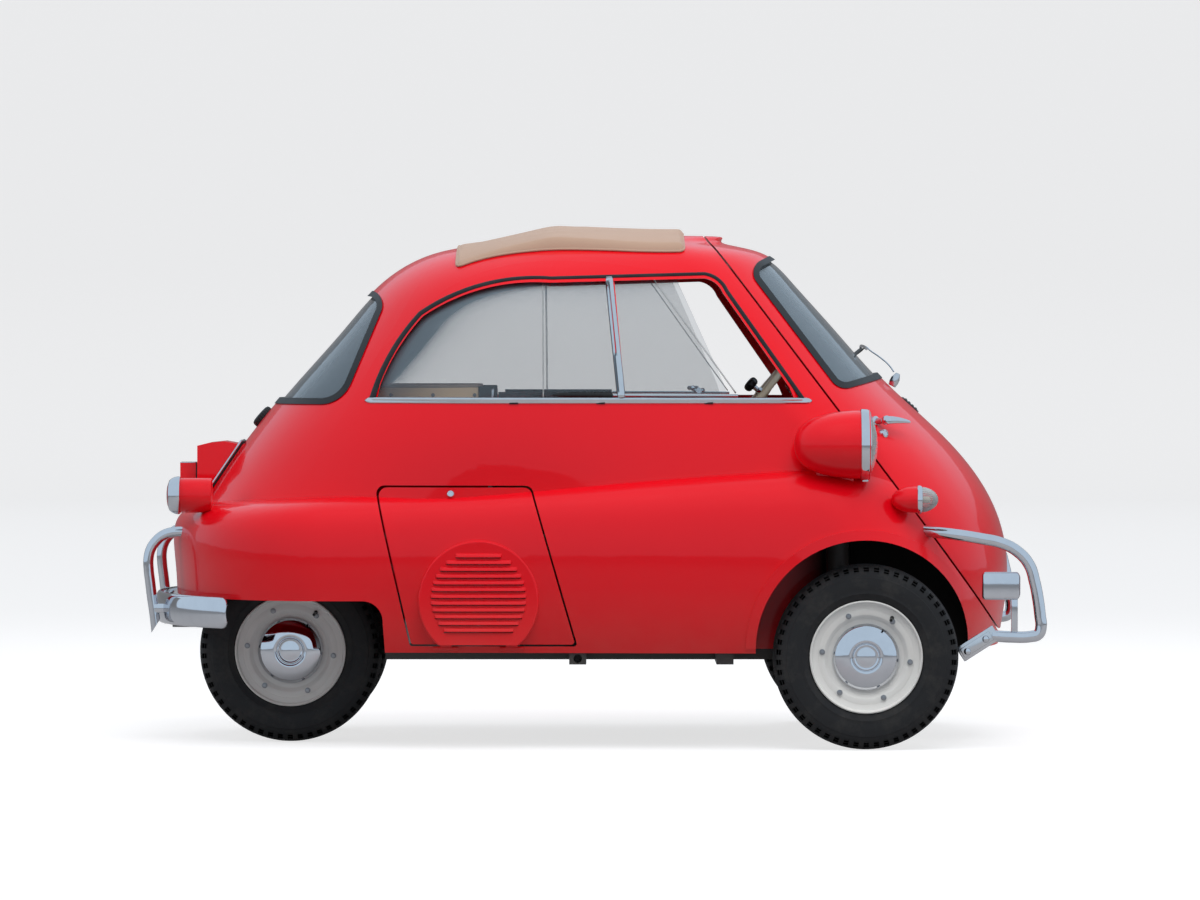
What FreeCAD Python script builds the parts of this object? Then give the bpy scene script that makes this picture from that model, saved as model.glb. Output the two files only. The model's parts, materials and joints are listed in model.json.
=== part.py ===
# Bubble car: an egg-shaped two-seater with one front door, two steered front
# wheels and two close-set rear wheels on one axle. Units are millimetres.
# +X points forward, +Y to the car's left, +Z up; the origin is on the ground
# below the middle of the overall length.
import FreeCAD, Part
import math
import os

V = FreeCAD.Vector
UP = V(0, 0, 1)
ACROSS = V(0, 1, 0)
FORWARD = V(1, 0, 0)

# Driving dimensions
GROUND = 0.0
FRONT_AXLE_X = 703.0
WHEELBASE = 1500.0
REAR_AXLE_X = FRONT_AXLE_X - WHEELBASE
FRONT_TRACK = 1200.0
REAR_TRACK = 520.0
TYRE_RADIUS = 240.0
TYRE_WIDTH = 116.0
RIM_FLANGE_RADIUS = 145.0
RIM_SEAT_RADIUS = 126.0
RIM_WIDTH = 88.0
HUBCAP_RADIUS = 84.0
AXLE_Z = TYRE_RADIUS
WALL = 24.0
SKIN_FAR = 3000.0

# Seam plane between the front door and the body: it leans back and is flat
SEAM_X = 383.0
SEAM_Z = 1214.0
SEAM_DROP = 1.3365
SEAM_GAP = 5.0

# Plane between the tail panel and the roof and sides
TAIL_SEAM_X = -630.0
TAIL_SEAM_Z = 902.0
TAIL_SEAM_RISE = 247.0 / 140.0
ROOF_EDGE_Y = 400.0

TABLE_X = 500.0

# The egg: rings from the sill to the roof
# height, front end, rear end, half width front, half width rear, nose, tail
EGG = [
    (250, 1082, -1085, 540, 500, 330, 600),
    (400, 1104, -1100, 580, 560, 335, 650),
    (550, 1093, -1078, 586, 592, 345, 680),
    (700, 1022, -992, 572, 604, 360, 680),
    (840, 895, -890, 548, 598, 372, 640),
    (960, 767, -789, 524, 576, 368, 600),
    (1080, 660, -683, 490, 542, 348, 540),
    (1190, 562, -587, 438, 482, 310, 460),
    (1262, 495, -490, 374, 404, 265, 390),
    (1303, 405, -363, 300, 320, 215, 310),
    (1322, 342, -215, 215, 220, 165, 210),
    (1332, 275, -20, 105, 110, 90, 100),
]
EGG_TILT = [0.0] * len(EGG)

# The wings: one low boat shape round the egg, its shoulder falling to the rear
WINGS = [
    (250, 1075, -1098, 655, 605, 420, 400),
    (384, 1088, -1112, 686, 640, 420, 410),
    (505, 1058, -1120, 692, 650, 420, 415),
    (592, 1021, -1120, 684, 642, 420, 415),
    (656, 985, -1105, 664, 622, 420, 405),
    (696, 940, -1075, 630, 590, 410, 390),
    (716, 880, -1020, 585, 545, 390, 360),
    (724, 800, -930, 530, 490, 350, 320),
]
WINGS_TILT = [0.0, 0.0, 0.005, 0.022, 0.040, 0.052, 0.058, 0.060]


def half_oval(x_mid, reach, half_width, z, tilt):
    """Half an ellipse in plan, bulging to +X for a positive reach."""
    arc = Part.Arc(V(0, -1, 0), V(1, 0, 0), V(0, 1, 0)).toShape()
    drop = z + tilt * (x_mid - TABLE_X)
    grid = FreeCAD.Matrix(
        reach, 0, 0, x_mid, 0, half_width, 0, 0, tilt * reach, 0, 1, drop, 0, 0, 0, 1
    )
    return arc.transformGeometry(grid)


def ring(z, tilt, x_front, x_rear, half_front, half_rear, nose, tail):
    """One closed plan outline: a nose, two gently tapered sides and a tail."""
    x_a = x_front - nose
    x_b = x_rear + tail
    ease = (x_a - x_b) / 3.0

    def side(sign):
        poles = [(x_a, half_front), (x_a - ease, half_front)]
        poles += [(x_b + ease, half_rear), (x_b, half_rear)]
        curve = Part.BezierCurve()
        curve.setPoles([V(x, sign * y, z + tilt * (x - TABLE_X)) for x, y in poles])
        return curve.toShape()

    edges = [
        half_oval(x_a, nose, half_front, z, tilt),
        side(1),
        half_oval(x_b, -tail, half_rear, z, tilt),
        side(-1),
    ]
    return Part.Wire(Part.__sortEdges__(edges))


def lofted(table, tilts, inset):
    """The table's solid, drawn in by inset along its own surface."""
    wires = []
    last = len(table) - 1
    for i, row in enumerate(table):
        z, x_front, x_rear, half_front, half_rear, nose, tail = row
        below = table[max(i - 1, 0)]
        above = table[min(i + 1, last)]
        lean = (below[3] - above[3]) / (above[0] - below[0])
        down = max(lean, 0.0) / math.hypot(1.0, lean)
        level = 1.0 / math.hypot(1.0, max(lean, 0.0))
        if i == last:
            down, level = 1.0, 0.0
        if i == 0:
            z -= 12.0 if inset > 0 else 0.0
        off = inset * level
        wires.append(
            ring(
                z - inset * down,
                tilts[i],
                x_front - off,
                x_rear + off,
                half_front - off,
                half_rear - off,
                nose - off,
                tail - off,
            )
        )
    return Part.makeLoft(wires, True, False, False, 3)


_made = {}


def egg(inset=0.0):
    if ("egg", inset) not in _made:
        _made["egg", inset] = lofted(EGG, EGG_TILT, inset)
    return _made["egg", inset]


def wings(inset=0.0):
    if ("wings", inset) not in _made:
        _made["wings", inset] = lofted(WINGS, WINGS_TILT, inset)
    return _made["wings", inset]


def hull(inset=0.0):
    if ("hull", inset) not in _made:
        _made["hull", inset] = egg(inset).fuse(wings(inset))
    return _made["hull", inset]


def box(x0, x1, y0, y1, z0, z1):
    return Part.makeBox(x1 - x0, y1 - y0, z1 - z0, V(x0, y0, z0))


def rod(radius, start, end):
    """A round bar from start to end."""
    a, b = V(*start), V(*end)
    return Part.makeCylinder(radius, (b - a).Length, a, b - a)


def side_prism(points, y0, y1):
    """A side-view outline of straight edges, as long across as y0 to y1."""
    wire = Part.makePolygon([V(x, y0, z) for x, z in points + points[:1]])
    return Part.Face(wire).extrude(V(0, y1 - y0, 0))


def rounded(points, radii):
    """A closed side-view wire of straight edges with its corners rounded."""
    edges = []
    starts, ends, arcs = [], [], []
    n = len(points)
    for i in range(n):
        p = V(points[i][0], 0, points[i][1])
        a = V(points[i - 1][0], 0, points[i - 1][1]) - p
        b = V(points[(i + 1) % n][0], 0, points[(i + 1) % n][1]) - p
        a.normalize()
        b.normalize()
        r = radii[i]
        if r <= 0:
            starts.append(p)
            ends.append(p)
            arcs.append(None)
            continue
        half = math.acos(max(-1.0, min(1.0, a.dot(b)))) / 2.0
        reach = r / math.tan(half)
        mid_dir = (a + b).normalize()
        centre = p + mid_dir * (r / math.sin(half))
        starts.append(p + a * reach)
        ends.append(p + b * reach)
        arcs.append(centre - mid_dir * r)
    for i in range(n):
        if arcs[i] is not None:
            edges.append(Part.Arc(starts[i], arcs[i], ends[i]).toShape())
        a, b = ends[i], starts[(i + 1) % n]
        if (b - a).Length > 0.001:
            edges.append(Part.makeLine(a, b))
    return Part.Wire(edges)


def across(wire, y0, y1):
    """Extrudes a side-view wire from y0 to y1."""
    face = Part.Face(wire)
    face.translate(V(0, y0, 0))
    return face.extrude(V(0, y1 - y0, 0))


def seam_point(z, forward=0.0):
    """X of the door seam at height z, moved square to the seam."""
    step = forward * math.hypot(SEAM_DROP, 1.0) / SEAM_DROP
    return SEAM_X + (SEAM_Z - z) / SEAM_DROP + step


def ahead_of_seam(forward):
    """Everything in front of the seam plane moved forward."""
    low, high = -200.0, 1600.0
    points = [(seam_point(low, forward), low), (SKIN_FAR, low)]
    points += [(SKIN_FAR, high), (seam_point(high, forward), high)]
    return side_prism(points, -1200.0, 1200.0)


def tail_x(z):
    return TAIL_SEAM_X + (z - TAIL_SEAM_Z) / TAIL_SEAM_RISE


def behind_tail_seam():
    low, high = -200.0, 1600.0
    points = [(tail_x(low), low), (tail_x(high), high)]
    points += [(-SKIN_FAR, high), (-SKIN_FAR, low)]
    return side_prism(points, -1200.0, 1200.0)


def mirrored(shape):
    return shape.mirror(V(0, 0, 0), ACROSS)


def one(shapes):
    first = shapes[0]
    return first.fuse(shapes[1:]) if len(shapes) > 1 else first


# Openings, drawn in side view
SILL_Z = 902.0
SIDE_GLASS_TOP = 1234.0


def side_window_wire():
    front_low = V(551, 0, SILL_Z)
    front_high = V(352, 0, 1187)
    bend = V(330, 0, 1217)
    top_front = V(290, 0, SIDE_GLASS_TOP)
    top_rear = V(-110, 0, 1222)
    shoulder = V(-300, 0, 1203)
    quarter = V(-455, 0, 1131)
    hip = V(-534, 0, 1022)
    rear_low = V(-583, 0, SILL_Z)
    edges = [
        Part.makeLine(rear_low, front_low),
        Part.makeLine(front_low, front_high),
        Part.Arc(front_high, bend, top_front).toShape(),
        Part.makeLine(top_front, top_rear),
        Part.Arc(top_rear, shoulder, quarter).toShape(),
        Part.Arc(quarter, hip, rear_low).toShape(),
    ]
    return Part.Wire(edges)


WINDSCREEN_EDGE = 34.0


def windscreen_wire():
    top, low = 1246.0, 925.0
    points = [
        (seam_point(top, WINDSCREEN_EDGE), top),
        (seam_point(low, WINDSCREEN_EDGE), low),
        (1300.0, low + 165.0),
        (1300.0, top + 480.0),
    ]
    return rounded(points, [38.0, 48.0, 0, 0])


def rear_window_wire():
    points = [(-540.0, 1180.0), (-1200.0, 1300.0), (-1200.0, 889.0), (-655.0, 889.0)]
    return rounded(points, [42.0, 0, 0, 90.0])


def inset_wire(wire, by):
    return wire.makeOffset2D(-by)


def skin(outer, inner, body=egg):
    """The layer between two depths below the surface."""
    return body(outer).cut(body(inner))


# Front wheel arches
ARCH_X = 698.0
ARCH_Z = 262.0
ARCH_RADIUS = 280.0
ARCH_LIP = 26.0
WELL_INNER_Y = 400.0
WELL_WALL = 12.0
WELL_GAP = 12.0


def arch_drum(radius, y0, y1, sign):
    """A round-topped bore for a front wheel, open to the ground."""
    top = Part.makeCylinder(radius, y1 - y0, V(ARCH_X, y0, ARCH_Z), ACROSS)
    low = box(ARCH_X - radius, ARCH_X + radius, y0, y1, -50.0, ARCH_Z)
    drum = top.fuse(low)
    return drum if sign > 0 else mirrored(drum)


# Rear cut-away under the tail
TAIL_EDGE_Z = 384.0
REAR_ARCH_X = -534.0


def tail_cutaway():
    points = [
        (-1400.0, TAIL_EDGE_Z),
        (REAR_ARCH_X - 12.0, TAIL_EDGE_Z),
        (REAR_ARCH_X + 6.0, 100.0),
        (-1400.0, 100.0),
    ]
    return across(rounded(points, [0, 52.0, 0, 0]), -900.0, 900.0)


def body_shell():
    """The closed sheet body behind the door seam, before it is split."""
    shell = hull(0.0).cut(hull(WALL))
    shell = shell.cut(ahead_of_seam(-SEAM_GAP / 2.0))
    shell = shell.cut(tail_cutaway())
    shell = shell.cut(across(rear_window_wire(), -900.0, 900.0))
    for sign in (1, -1):
        window = across(side_window_wire(), 150.0, 900.0)
        shell = shell.cut(window if sign > 0 else mirrored(window))
        shell = shell.cut(arch_drum(ARCH_RADIUS, WELL_INNER_Y, 900.0, sign))
    return shell


def wheelhouse():
    """Left inner arch: a drum wall and a flat inner face, inside the body."""
    y_in = WELL_INNER_Y - WELL_WALL
    radius = ARCH_RADIUS + WELL_GAP
    drum = arch_drum(radius + WELL_WALL, y_in, 720.0, 1)
    drum = drum.cut(arch_drum(radius, WELL_INNER_Y, 900.0, 1))
    drum = drum.common(hull(WALL - 1.0))
    drum = drum.cut(ahead_of_seam(-SEAM_GAP / 2.0))
    return drum.common(box(-2000, 2000, 0, 900, 250.0, 900.0))


def arch_lip():
    """Left raised lip round the front arch."""
    band = arch_drum(ARCH_RADIUS + ARCH_LIP, 500.0, 900.0, 1)
    band = band.cut(arch_drum(ARCH_RADIUS, 450.0, 950.0, 1))
    band = band.common(wings(-6.0)).cut(hull(10.0))
    band = band.cut(ahead_of_seam(-12.0))
    return band.common(box(-2000, 2000, 0, 900, 262.0, 900.0))


# Engine access panel on the right side, between two leaning seams
PANEL_GAP = 5.0
PANEL_HINGE_Y = -632.0
PANEL_HINGE_Z = 262.0
PANEL_HINGE_RADIUS = 5.0
PANEL_HINGE_X = (-380.0, -210.0)
PIN_GAP = 0.4
PANEL_LOW_Z = 272.0
PANEL_TOP_Z = 676.0
PANEL_THICK = 14.0
LOUVRE_X = -295.0
LOUVRE_Z = 390.0
LOUVRE_RADIUS = 122.0
LOUVRE_COUNT = 12
LOUVRE_PITCH = 17.4
LOUVRE_FIRST = 107.5
LOUVRE_OPEN = 3.6
DISC_RADIUS = 155.0
PAD_FACE = 666.0
PAD_ROUND = 5.0


def panel_prism(grow):
    """The panel's outline as a bar across the right side."""
    low, high = PANEL_LOW_Z - grow, PANEL_TOP_Z + grow

    def rear(z):
        return -561.0 + (679.0 - z) * 97.5 / 432.5 - grow

    def front(z):
        return -167.7 + (691.5 - z) * 128.7 / 445.0 + grow

    points = [(rear(low), low), (front(low), low), (front(high), high), (rear(high), high)]
    return across(rounded(points, [8.0, 8.0, 22.0, 22.0]), -900.0, -420.0)


def engine_panel():
    outline = panel_prism(0.0)
    plate = hull(0.0).cut(hull(PANEL_THICK)).common(outline)
    pad = Part.makeCylinder(DISC_RADIUS, 120.0, V(LOUVRE_X, -PAD_FACE, LOUVRE_Z - 4.0), ACROSS)
    rim = [e for e in pad.Edges if e.BoundBox.YMax < -PAD_FACE + 0.1]
    pad = pad.makeFillet(PAD_ROUND, rim).cut(hull(PANEL_THICK))
    plate = plate.fuse(pad.common(outline))
    slots = []
    for i in range(LOUVRE_COUNT):
        rise = LOUVRE_FIRST - i * LOUVRE_PITCH
        half = math.sqrt(LOUVRE_RADIUS ** 2 - rise ** 2)
        z = LOUVRE_Z + rise - LOUVRE_OPEN / 2.0
        slots.append(Part.makeBox(2.0 * half, 320.0, LOUVRE_OPEN, V(LOUVRE_X - half, -800.0, z)))
    plate = plate.cut(slots)
    knuckles = [panel_knuckle(x, 0.0, 30.0) for x in PANEL_HINGE_X]
    return one([plate] + knuckles)


def panel_knuckle(x, shift, length):
    """A hinge knuckle with a tab that runs up behind the panel's skin."""
    x0 = x + shift - length / 2.0
    barrel = Part.makeCylinder(
        PANEL_HINGE_RADIUS, length, V(x0, PANEL_HINGE_Y, PANEL_HINGE_Z), FORWARD
    )
    x1, y, z = x0 + length, PANEL_HINGE_Y, PANEL_LOW_Z
    web = box(x0, x1, y - 4.0, y + 3.0, PANEL_HINGE_Z, z + 6.0)
    tab = box(x0, x1, y - 4.0, y + 26.0, z, z + 6.0)
    return one([barrel, web, tab])


def panel_hinge_on_body():
    """Knuckles on the sill, either side of each of the panel's."""
    pieces = []
    for x in PANEL_HINGE_X:
        for side in (-1, 1):
            x0 = x + side * (15.0 + PIN_GAP + 8.0) - 8.0
            barrel = Part.makeCylinder(
                PANEL_HINGE_RADIUS, 16.0, V(x0, PANEL_HINGE_Y, PANEL_HINGE_Z), FORWARD
            )
            y, z = PANEL_HINGE_Y, PANEL_HINGE_Z
            tab = box(x0, x0 + 16.0, y, y + 28.0, z - 4.0, z)
            pieces.append(barrel.fuse(tab))
    return pieces



def half_space(y):
    """Everything on the left of y."""
    return box(-2000, 2000, y, 1500, -100, 2000)


def body_panels():
    shell = body_shell()
    tail = shell.common(behind_tail_seam())
    fore = shell.cut(behind_tail_seam())
    roof = fore.common(box(-2000, 2000, -ROOF_EDGE_Y, ROOF_EDGE_Y, 700, 2000))
    roof = roof.cut(across(roof_opening_wire(), -ROOF_HOLE_Y, ROOF_HOLE_Y))
    low = fore.common(box(-400, 1300, -ROOF_EDGE_Y, ROOF_EDGE_Y, 100, 700))
    left = fore.common(half_space(ROOF_EDGE_Y)).fuse(low.common(half_space(0.0)))
    left = left.removeSplitter()
    beam = rod(BEAM_RADIUS + 8.0, (FRONT_AXLE_X, 300, AXLE_Z), (FRONT_AXLE_X, 500, AXLE_Z))
    left = one([left, wheelhouse().cut(beam), arch_lip()])
    right = mirrored(left).cut(panel_prism(PANEL_GAP))
    right = right.fuse(panel_hinge_on_body())
    left = left.fuse(hinge_arms_on_body())
    return {
        "side_panel_left": left,
        "side_panel_right": right,
        "roof_panel": roof,
        "tail_panel": tail,
    }


# Roof opening and the cloth that closes it
ROOF_HOLE_FRONT = 190.0
ROOF_HOLE_REAR = -300.0
ROOF_HOLE_Y = 320.0
CLOTH_FRONT = 237.0
CLOTH_REAR = -350.0
CLOTH_Y = 366.0
CLOTH_RISE = 20.0


def roof_opening_wire():
    points = [(ROOF_HOLE_REAR, 1100.0), (ROOF_HOLE_FRONT, 1100.0)]
    points += [(ROOF_HOLE_FRONT, 1500.0), (ROOF_HOLE_REAR, 1500.0)]
    return rounded(points, [0, 0, 0, 0])


def fabric_roof():
    plan = box(CLOTH_REAR, CLOTH_FRONT, -CLOTH_Y, CLOTH_Y, 1200, 1500)
    plan = plan.makeFillet(45.0, [e for e in plan.Edges if e.Length < 301 and e.BoundBox.ZLength > 200])
    return egg(-CLOTH_RISE).cut(egg(-0.4)).common(plan)


# Front door: everything of the egg ahead of the seam
DOOR_LOW_Z = 292.0
HINGE_X = 960.0
HINGE_Y = 562.0
HINGE_RADIUS = 9.0
KNUCKLE_HALF = 12.0
# height, Y where the arm meets the door, X and Y where it meets the wing
HINGES = [
    (402.0, 350.0, 952.0, 480.0),
    (528.0, 500.0, 800.0, 588.0),
]


def front_door():
    door = egg(0.0).cut(egg(WALL)).common(ahead_of_seam(SEAM_GAP / 2.0))
    door = door.common(box(0, 1500, -900, 900, DOOR_LOW_Z, 1500))
    door = door.cut(across(windscreen_wire(), -900.0, 900.0))
    arms = []
    for z, door_edge_y, wing_x, wing_y in HINGES:
        x_edge = seam_point(z, 20.0) + 12.0
        arm = rod(6.0, (HINGE_X, HINGE_Y, z), (x_edge, door_edge_y, z))
        low = V(HINGE_X, HINGE_Y, z - KNUCKLE_HALF)
        knuckle = Part.makeCylinder(HINGE_RADIUS, 2 * KNUCKLE_HALF, low)
        arms.append(arm.fuse(knuckle).cut(egg(6.0)))
    return one([door] + arms)


def hinge_arms_on_body():
    """Two knuckles either side of each door knuckle, with an arm to the wing."""
    pieces = []
    for z, door_edge_y, wing_x, wing_y in HINGES:
        for side in (-1, 1):
            z_mid = z + side * (KNUCKLE_HALF + PIN_GAP + 7.0)
            knuckle = Part.makeCylinder(HINGE_RADIUS, 14.0, V(HINGE_X, HINGE_Y, z_mid - 7.0))
            arm = rod(6.0, (HINGE_X, HINGE_Y, z_mid), (wing_x, wing_y, z_mid))
            pieces.append(knuckle.fuse(arm).cut(hull(8.0)))
    return pieces


# Window seals and panes: an opening's wire, its rim and its glass
SEAL_WIDTH = 16.0
SEAL_PROUD = 3.0
GLASS_DEPTH = 9.0
GLASS_THICK = 5.0


def seal_and_glass(wire, y0, y1):
    outer = across(wire, y0, y1)
    inner = across(inset_wire(wire, SEAL_WIDTH), y0, y1)
    rim = egg(-SEAL_PROUD).cut(egg(WALL)).common(outer).cut(inner)
    glass = skin(GLASS_DEPTH, GLASS_DEPTH + GLASS_THICK).common(inner)
    return rim, glass


# Side windows: a seal, an upright divider, a sill strip and sliding panes
DIVIDER_LOW = (69.0, SILL_Z)
DIVIDER_HIGH = (38.0, 1240.0)
DIVIDER_WIDTH = 14.0
PANE_FRONT_LOW = 366.0
PANE_FRONT_HIGH = 180.0


def side_windows():
    rim, glass = seal_and_glass(side_window_wire(), 200.0, 900.0)
    x0, z0 = DIVIDER_LOW
    x1, z1 = DIVIDER_HIGH
    bar = side_prism([(x0, z0), (x0 + DIVIDER_WIDTH, z0), (x1 + DIVIDER_WIDTH, z1), (x1, z1)], 200, 900)
    inner = across(inset_wire(side_window_wire(), SEAL_WIDTH), 200.0, 900.0)
    divider = egg(-1.0).cut(egg(GLASS_DEPTH)).common(bar).common(inner)
    frame = rim.fuse(divider)
    gone = side_prism(
        [(PANE_FRONT_LOW, SILL_Z - 20), (800, SILL_Z - 20), (800, 1300), (PANE_FRONT_HIGH, 1300)],
        100,
        1000,
    )
    pane = glass.cut(gone)
    return frame, pane


# Wheels: profiles as (along the axle, radius), turned about the axle
def turned(points, y_mid, x, z, sign):
    """Turns a closed outline about a line across the car."""
    corners = [V(0, sign * a, r) for a, r in points]
    wire = Part.makePolygon(corners + corners[:1])
    solid = Part.Face(wire).revolve(V(0, 0, 0), ACROSS, 360)
    solid.translate(V(x, y_mid, z))
    return solid


STUB_RADIUS = 14.0
HUB_BORE = STUB_RADIUS + PIN_GAP
RIM = [
    (-50, 145), (-44, 145), (-38, 126), (38, 126), (44, 145), (50, 145),
    (50, 137), (40, 122), (32, 118), (32, 98), (24, 95), (24, HUB_BORE),
    (-30, HUB_BORE), (-30, 90), (10, 90), (22, 104), (22, 112), (-44, 118), (-50, 137),
]


def round_solid(corners, x, y):
    """Turns straight-sided corners about an axle, as a closed solid."""
    wire = Part.makePolygon(corners + corners[:1])
    solid = Part.Face(wire).revolve(V(0, 0, 0), ACROSS, 360)
    solid.translate(V(x, y, AXLE_Z))
    return solid


def arc_corners(a, b, c, count):
    """Corners along the arc from a through b, without its last one."""
    return Part.Arc(a, b, c).toShape().discretize(count + 1)[:-1]


def tyre(x, y):
    half = TYRE_WIDTH / 2.0

    def at(across, radius):
        return V(0, across, radius)

    corners = arc_corners(at(36, RIM_SEAT_RADIUS), at(half, 186), at(half - 10, 229), 4)
    corners += arc_corners(at(half - 10, 229), at(0, TYRE_RADIUS), at(10 - half, 229), 4)
    corners += arc_corners(at(10 - half, 229), at(-half, 186), at(-36, RIM_SEAT_RADIUS), 4)
    return round_solid(corners + [at(-36, RIM_SEAT_RADIUS)], x, y)


def wheel(x, y):
    """A pressed wheel with its brake drum; its barrel is cut to the tyre."""
    sign = 1 if y > 0 else -1
    return turned(RIM, y, x, AXLE_Z, sign).cut(tyre(x, y))


def hubcap(x, y):
    sign = 1 if y > 0 else -1

    def at(across, radius):
        return V(0, sign * across, radius)

    dome = arc_corners(at(32.0, HUBCAP_RADIUS), at(49.0, 45.0), at(54.0, 6.0), 5)
    corners = [at(24.0, 0.0), at(24.0, HUBCAP_RADIUS)] + dome + [at(54.0, 6.0), at(54.0, 0.0)]
    return round_solid(corners, x, y)


# Front axle: a cross tube with forked ends, turning knuckles and spring towers
BEAM_RADIUS = 22.0
KINGPIN_Y = 515.0
FORK_REACH = 22.0
FORK_TOP = 308.0
FORK_LOW = 172.0
FORK_THICK = 16.0
TOWER_BACK = 66.0
TOWER_RADIUS = 30.0
TOWER_Y = 440.0
TOWER_TOP = ARCH_Z + math.sqrt((ARCH_RADIUS + WELL_GAP) ** 2 - 91.0 ** 2) - 1.0


def front_axle_beam():
    x = FRONT_AXLE_X
    end = KINGPIN_Y - 60.0
    pieces = [rod(BEAM_RADIUS, (x, -end, AXLE_Z), (x, end, AXLE_Z))]
    for sign in (1, -1):
        y0, y1 = sorted((sign * end, sign * (end + 16.0)))
        tip0, tip1 = sorted((sign * end, sign * (KINGPIN_Y + FORK_REACH)))
        pieces.append(box(x - 22, x + 22, y0, y1, FORK_LOW - FORK_THICK, FORK_TOP + FORK_THICK))
        pieces.append(box(x - 22, x + 22, tip0, tip1, FORK_TOP, FORK_TOP + FORK_THICK))
        pieces.append(box(x - 22, x + 22, tip0, tip1, FORK_LOW - FORK_THICK, FORK_LOW))
        b0, b1 = sorted((sign * 412.0, sign * (end + 16.0)))
        tower_x = x - TOWER_BACK
        pieces.append(box(tower_x - TOWER_RADIUS, x + 22, b0, b1, 296, 324))
        low = (tower_x, sign * TOWER_Y, 320)
        pieces.append(rod(TOWER_RADIUS, low, (tower_x, sign * TOWER_Y, TOWER_TOP)))
    return one(pieces).removeSplitter()


def knuckle(sign):
    x, y = FRONT_AXLE_X, sign * KINGPIN_Y
    wheel_y = sign * FRONT_TRACK / 2.0
    tall = FORK_TOP - FORK_LOW - 2 * PIN_GAP
    pieces = [Part.makeCylinder(20.0, tall, V(x, y, FORK_LOW + PIN_GAP))]
    pieces.append(rod(24.0, (x, y, AXLE_Z), (x, wheel_y - sign * 46.0, AXLE_Z)))
    pieces.append(rod(92.0, (x, wheel_y - sign * 48.0, AXLE_Z), (x, wheel_y - sign * 38.0, AXLE_Z)))
    pieces.append(rod(STUB_RADIUS, (x, wheel_y - sign * 40.0, AXLE_Z), (x, wheel_y + sign * 18.0, AXLE_Z)))
    y0, y1 = sorted((y - sign * 8.0, y + sign * 12.0))
    pieces.append(box(x - 110, x, y0, y1, 184, 198))
    return one(pieces).removeSplitter()


# Rear axle: a fixed case on leaf springs, with a shaft that turns inside it
CASE_RADIUS = 30.0
SPRING_Y = 150.0
SPRING_BASE_Z = 274.0
CHAIN_Y = (-74.0, -20.0)
LEAVES = [(-840.0, 274.0), (-760.0, 282.0), (-680.0, 290.0)]


def rear_axle_case():
    x = REAR_AXLE_X
    pieces = [rod(CASE_RADIUS, (x, -180, AXLE_Z), (x, 180, AXLE_Z))]
    low, high = CHAIN_Y
    outline = [(x - 6, AXLE_Z - 60), (x + 60, AXLE_Z - 56), (-560, 272), (-490, 272)]
    outline += [(-490, 342), (x + 4, AXLE_Z + 60)]
    pieces.append(side_prism(outline, low, high))
    pieces.append(rod(60.0, (x, low, AXLE_Z), (x, high, AXLE_Z)))
    for y in (-SPRING_Y, SPRING_Y):
        pieces.append(box(x - 30, x + 30, y - 24, y + 24, AXLE_Z, SPRING_BASE_Z))
    case = one(pieces)
    return case.cut(rod(STUB_RADIUS + PIN_GAP, (x, -400, AXLE_Z), (x, 400, AXLE_Z)))


def rear_axle_shaft():
    reach = REAR_TRACK / 2.0 + 24.0
    shaft = rod(STUB_RADIUS, (REAR_AXLE_X, -reach, AXLE_Z), (REAR_AXLE_X, reach, AXLE_Z))
    return shaft


# Frame: two side rails, cross members, outriggers with jack sockets
RAIL_Y = 330.0
RAIL_HALF = 24.0
RAIL_LOW = 220.0
RAIL_TOP = 268.0
CROSS_X = (-525.0, -240.0, 340.0)
OUTRIGGER_X = (-40.0, 340.0)
JACK_X = -40.0
JACK_RADIUS = 11.0
JACK_DEPTH = 50.0
OUTRIGGER_END = 620.0
HOOP_LOW = 352.0
HOOP_Y = 97.0


def chassis_frame():
    x = FRONT_AXLE_X
    pieces = []
    for y in (-RAIL_Y, RAIL_Y):
        pieces.append(box(-545, x + 40, y - RAIL_HALF, y + RAIL_HALF, RAIL_LOW, RAIL_TOP))
    for cross in CROSS_X:
        pieces.append(box(cross - 20, cross + 20, -RAIL_Y, RAIL_Y, RAIL_LOW, RAIL_TOP))
    for out in OUTRIGGER_X:
        for sign in (1, -1):
            y0, y1 = sorted((sign * RAIL_Y, sign * OUTRIGGER_END))
            pieces.append(box(out - 22, out + 22, y0, y1, RAIL_LOW, 250))
            y0, y1 = sorted((sign * RAIL_Y, sign * 700.0))
            rest = box(out - 22, out + 22, y0, y1, 250, RAIL_TOP)
            pieces.append(rest.common(hull(WALL)))
    for y in (-SPRING_Y, SPRING_Y):
        for tip, z in LEAVES:
            pieces.append(box(tip, -505, y - 22, y + 22, z, z + 8))
        pieces.append(box(-545, -505, y - 26, y + 26, RAIL_LOW, SPRING_BASE_Z))
    for y in (-HOOP_Y, HOOP_Y):
        pieces.append(box(-545, -505, y - 15, y + 15, RAIL_TOP, HOOP_LOW))
        pieces.append(box(-1000, -505, y - 15, y + 15, HOOP_LOW, HOOP_LOW + 26))
    pieces.append(box(-1000, -970, -110, 110, HOOP_LOW, HOOP_LOW + 26))
    frame = one(pieces)
    frame = frame.cut(rod(BEAM_RADIUS, (x, -800, AXLE_Z), (x, 800, AXLE_Z)))
    for sign in (1, -1):
        end = (JACK_X, sign * OUTRIGGER_END, 235.0)
        start = (JACK_X, sign * (OUTRIGGER_END - JACK_DEPTH), 235.0)
        frame = frame.cut(rod(JACK_RADIUS, start, end))
    return frame.removeSplitter()


def silencer():
    """A round can hung under the frame's rear arms, with its tail pipe."""
    can = rod(42.0, (-905, -75, 314), (-905, 175, 314))
    can = can.cut(box(-1000, -800, -300, 300, HOOP_LOW, 400))
    pipe = rod(13.0, (-905, 40, 300), (-1130, 40, 300))
    return can.fuse(pipe)


CHAIN_SIDE = 20.0


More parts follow.
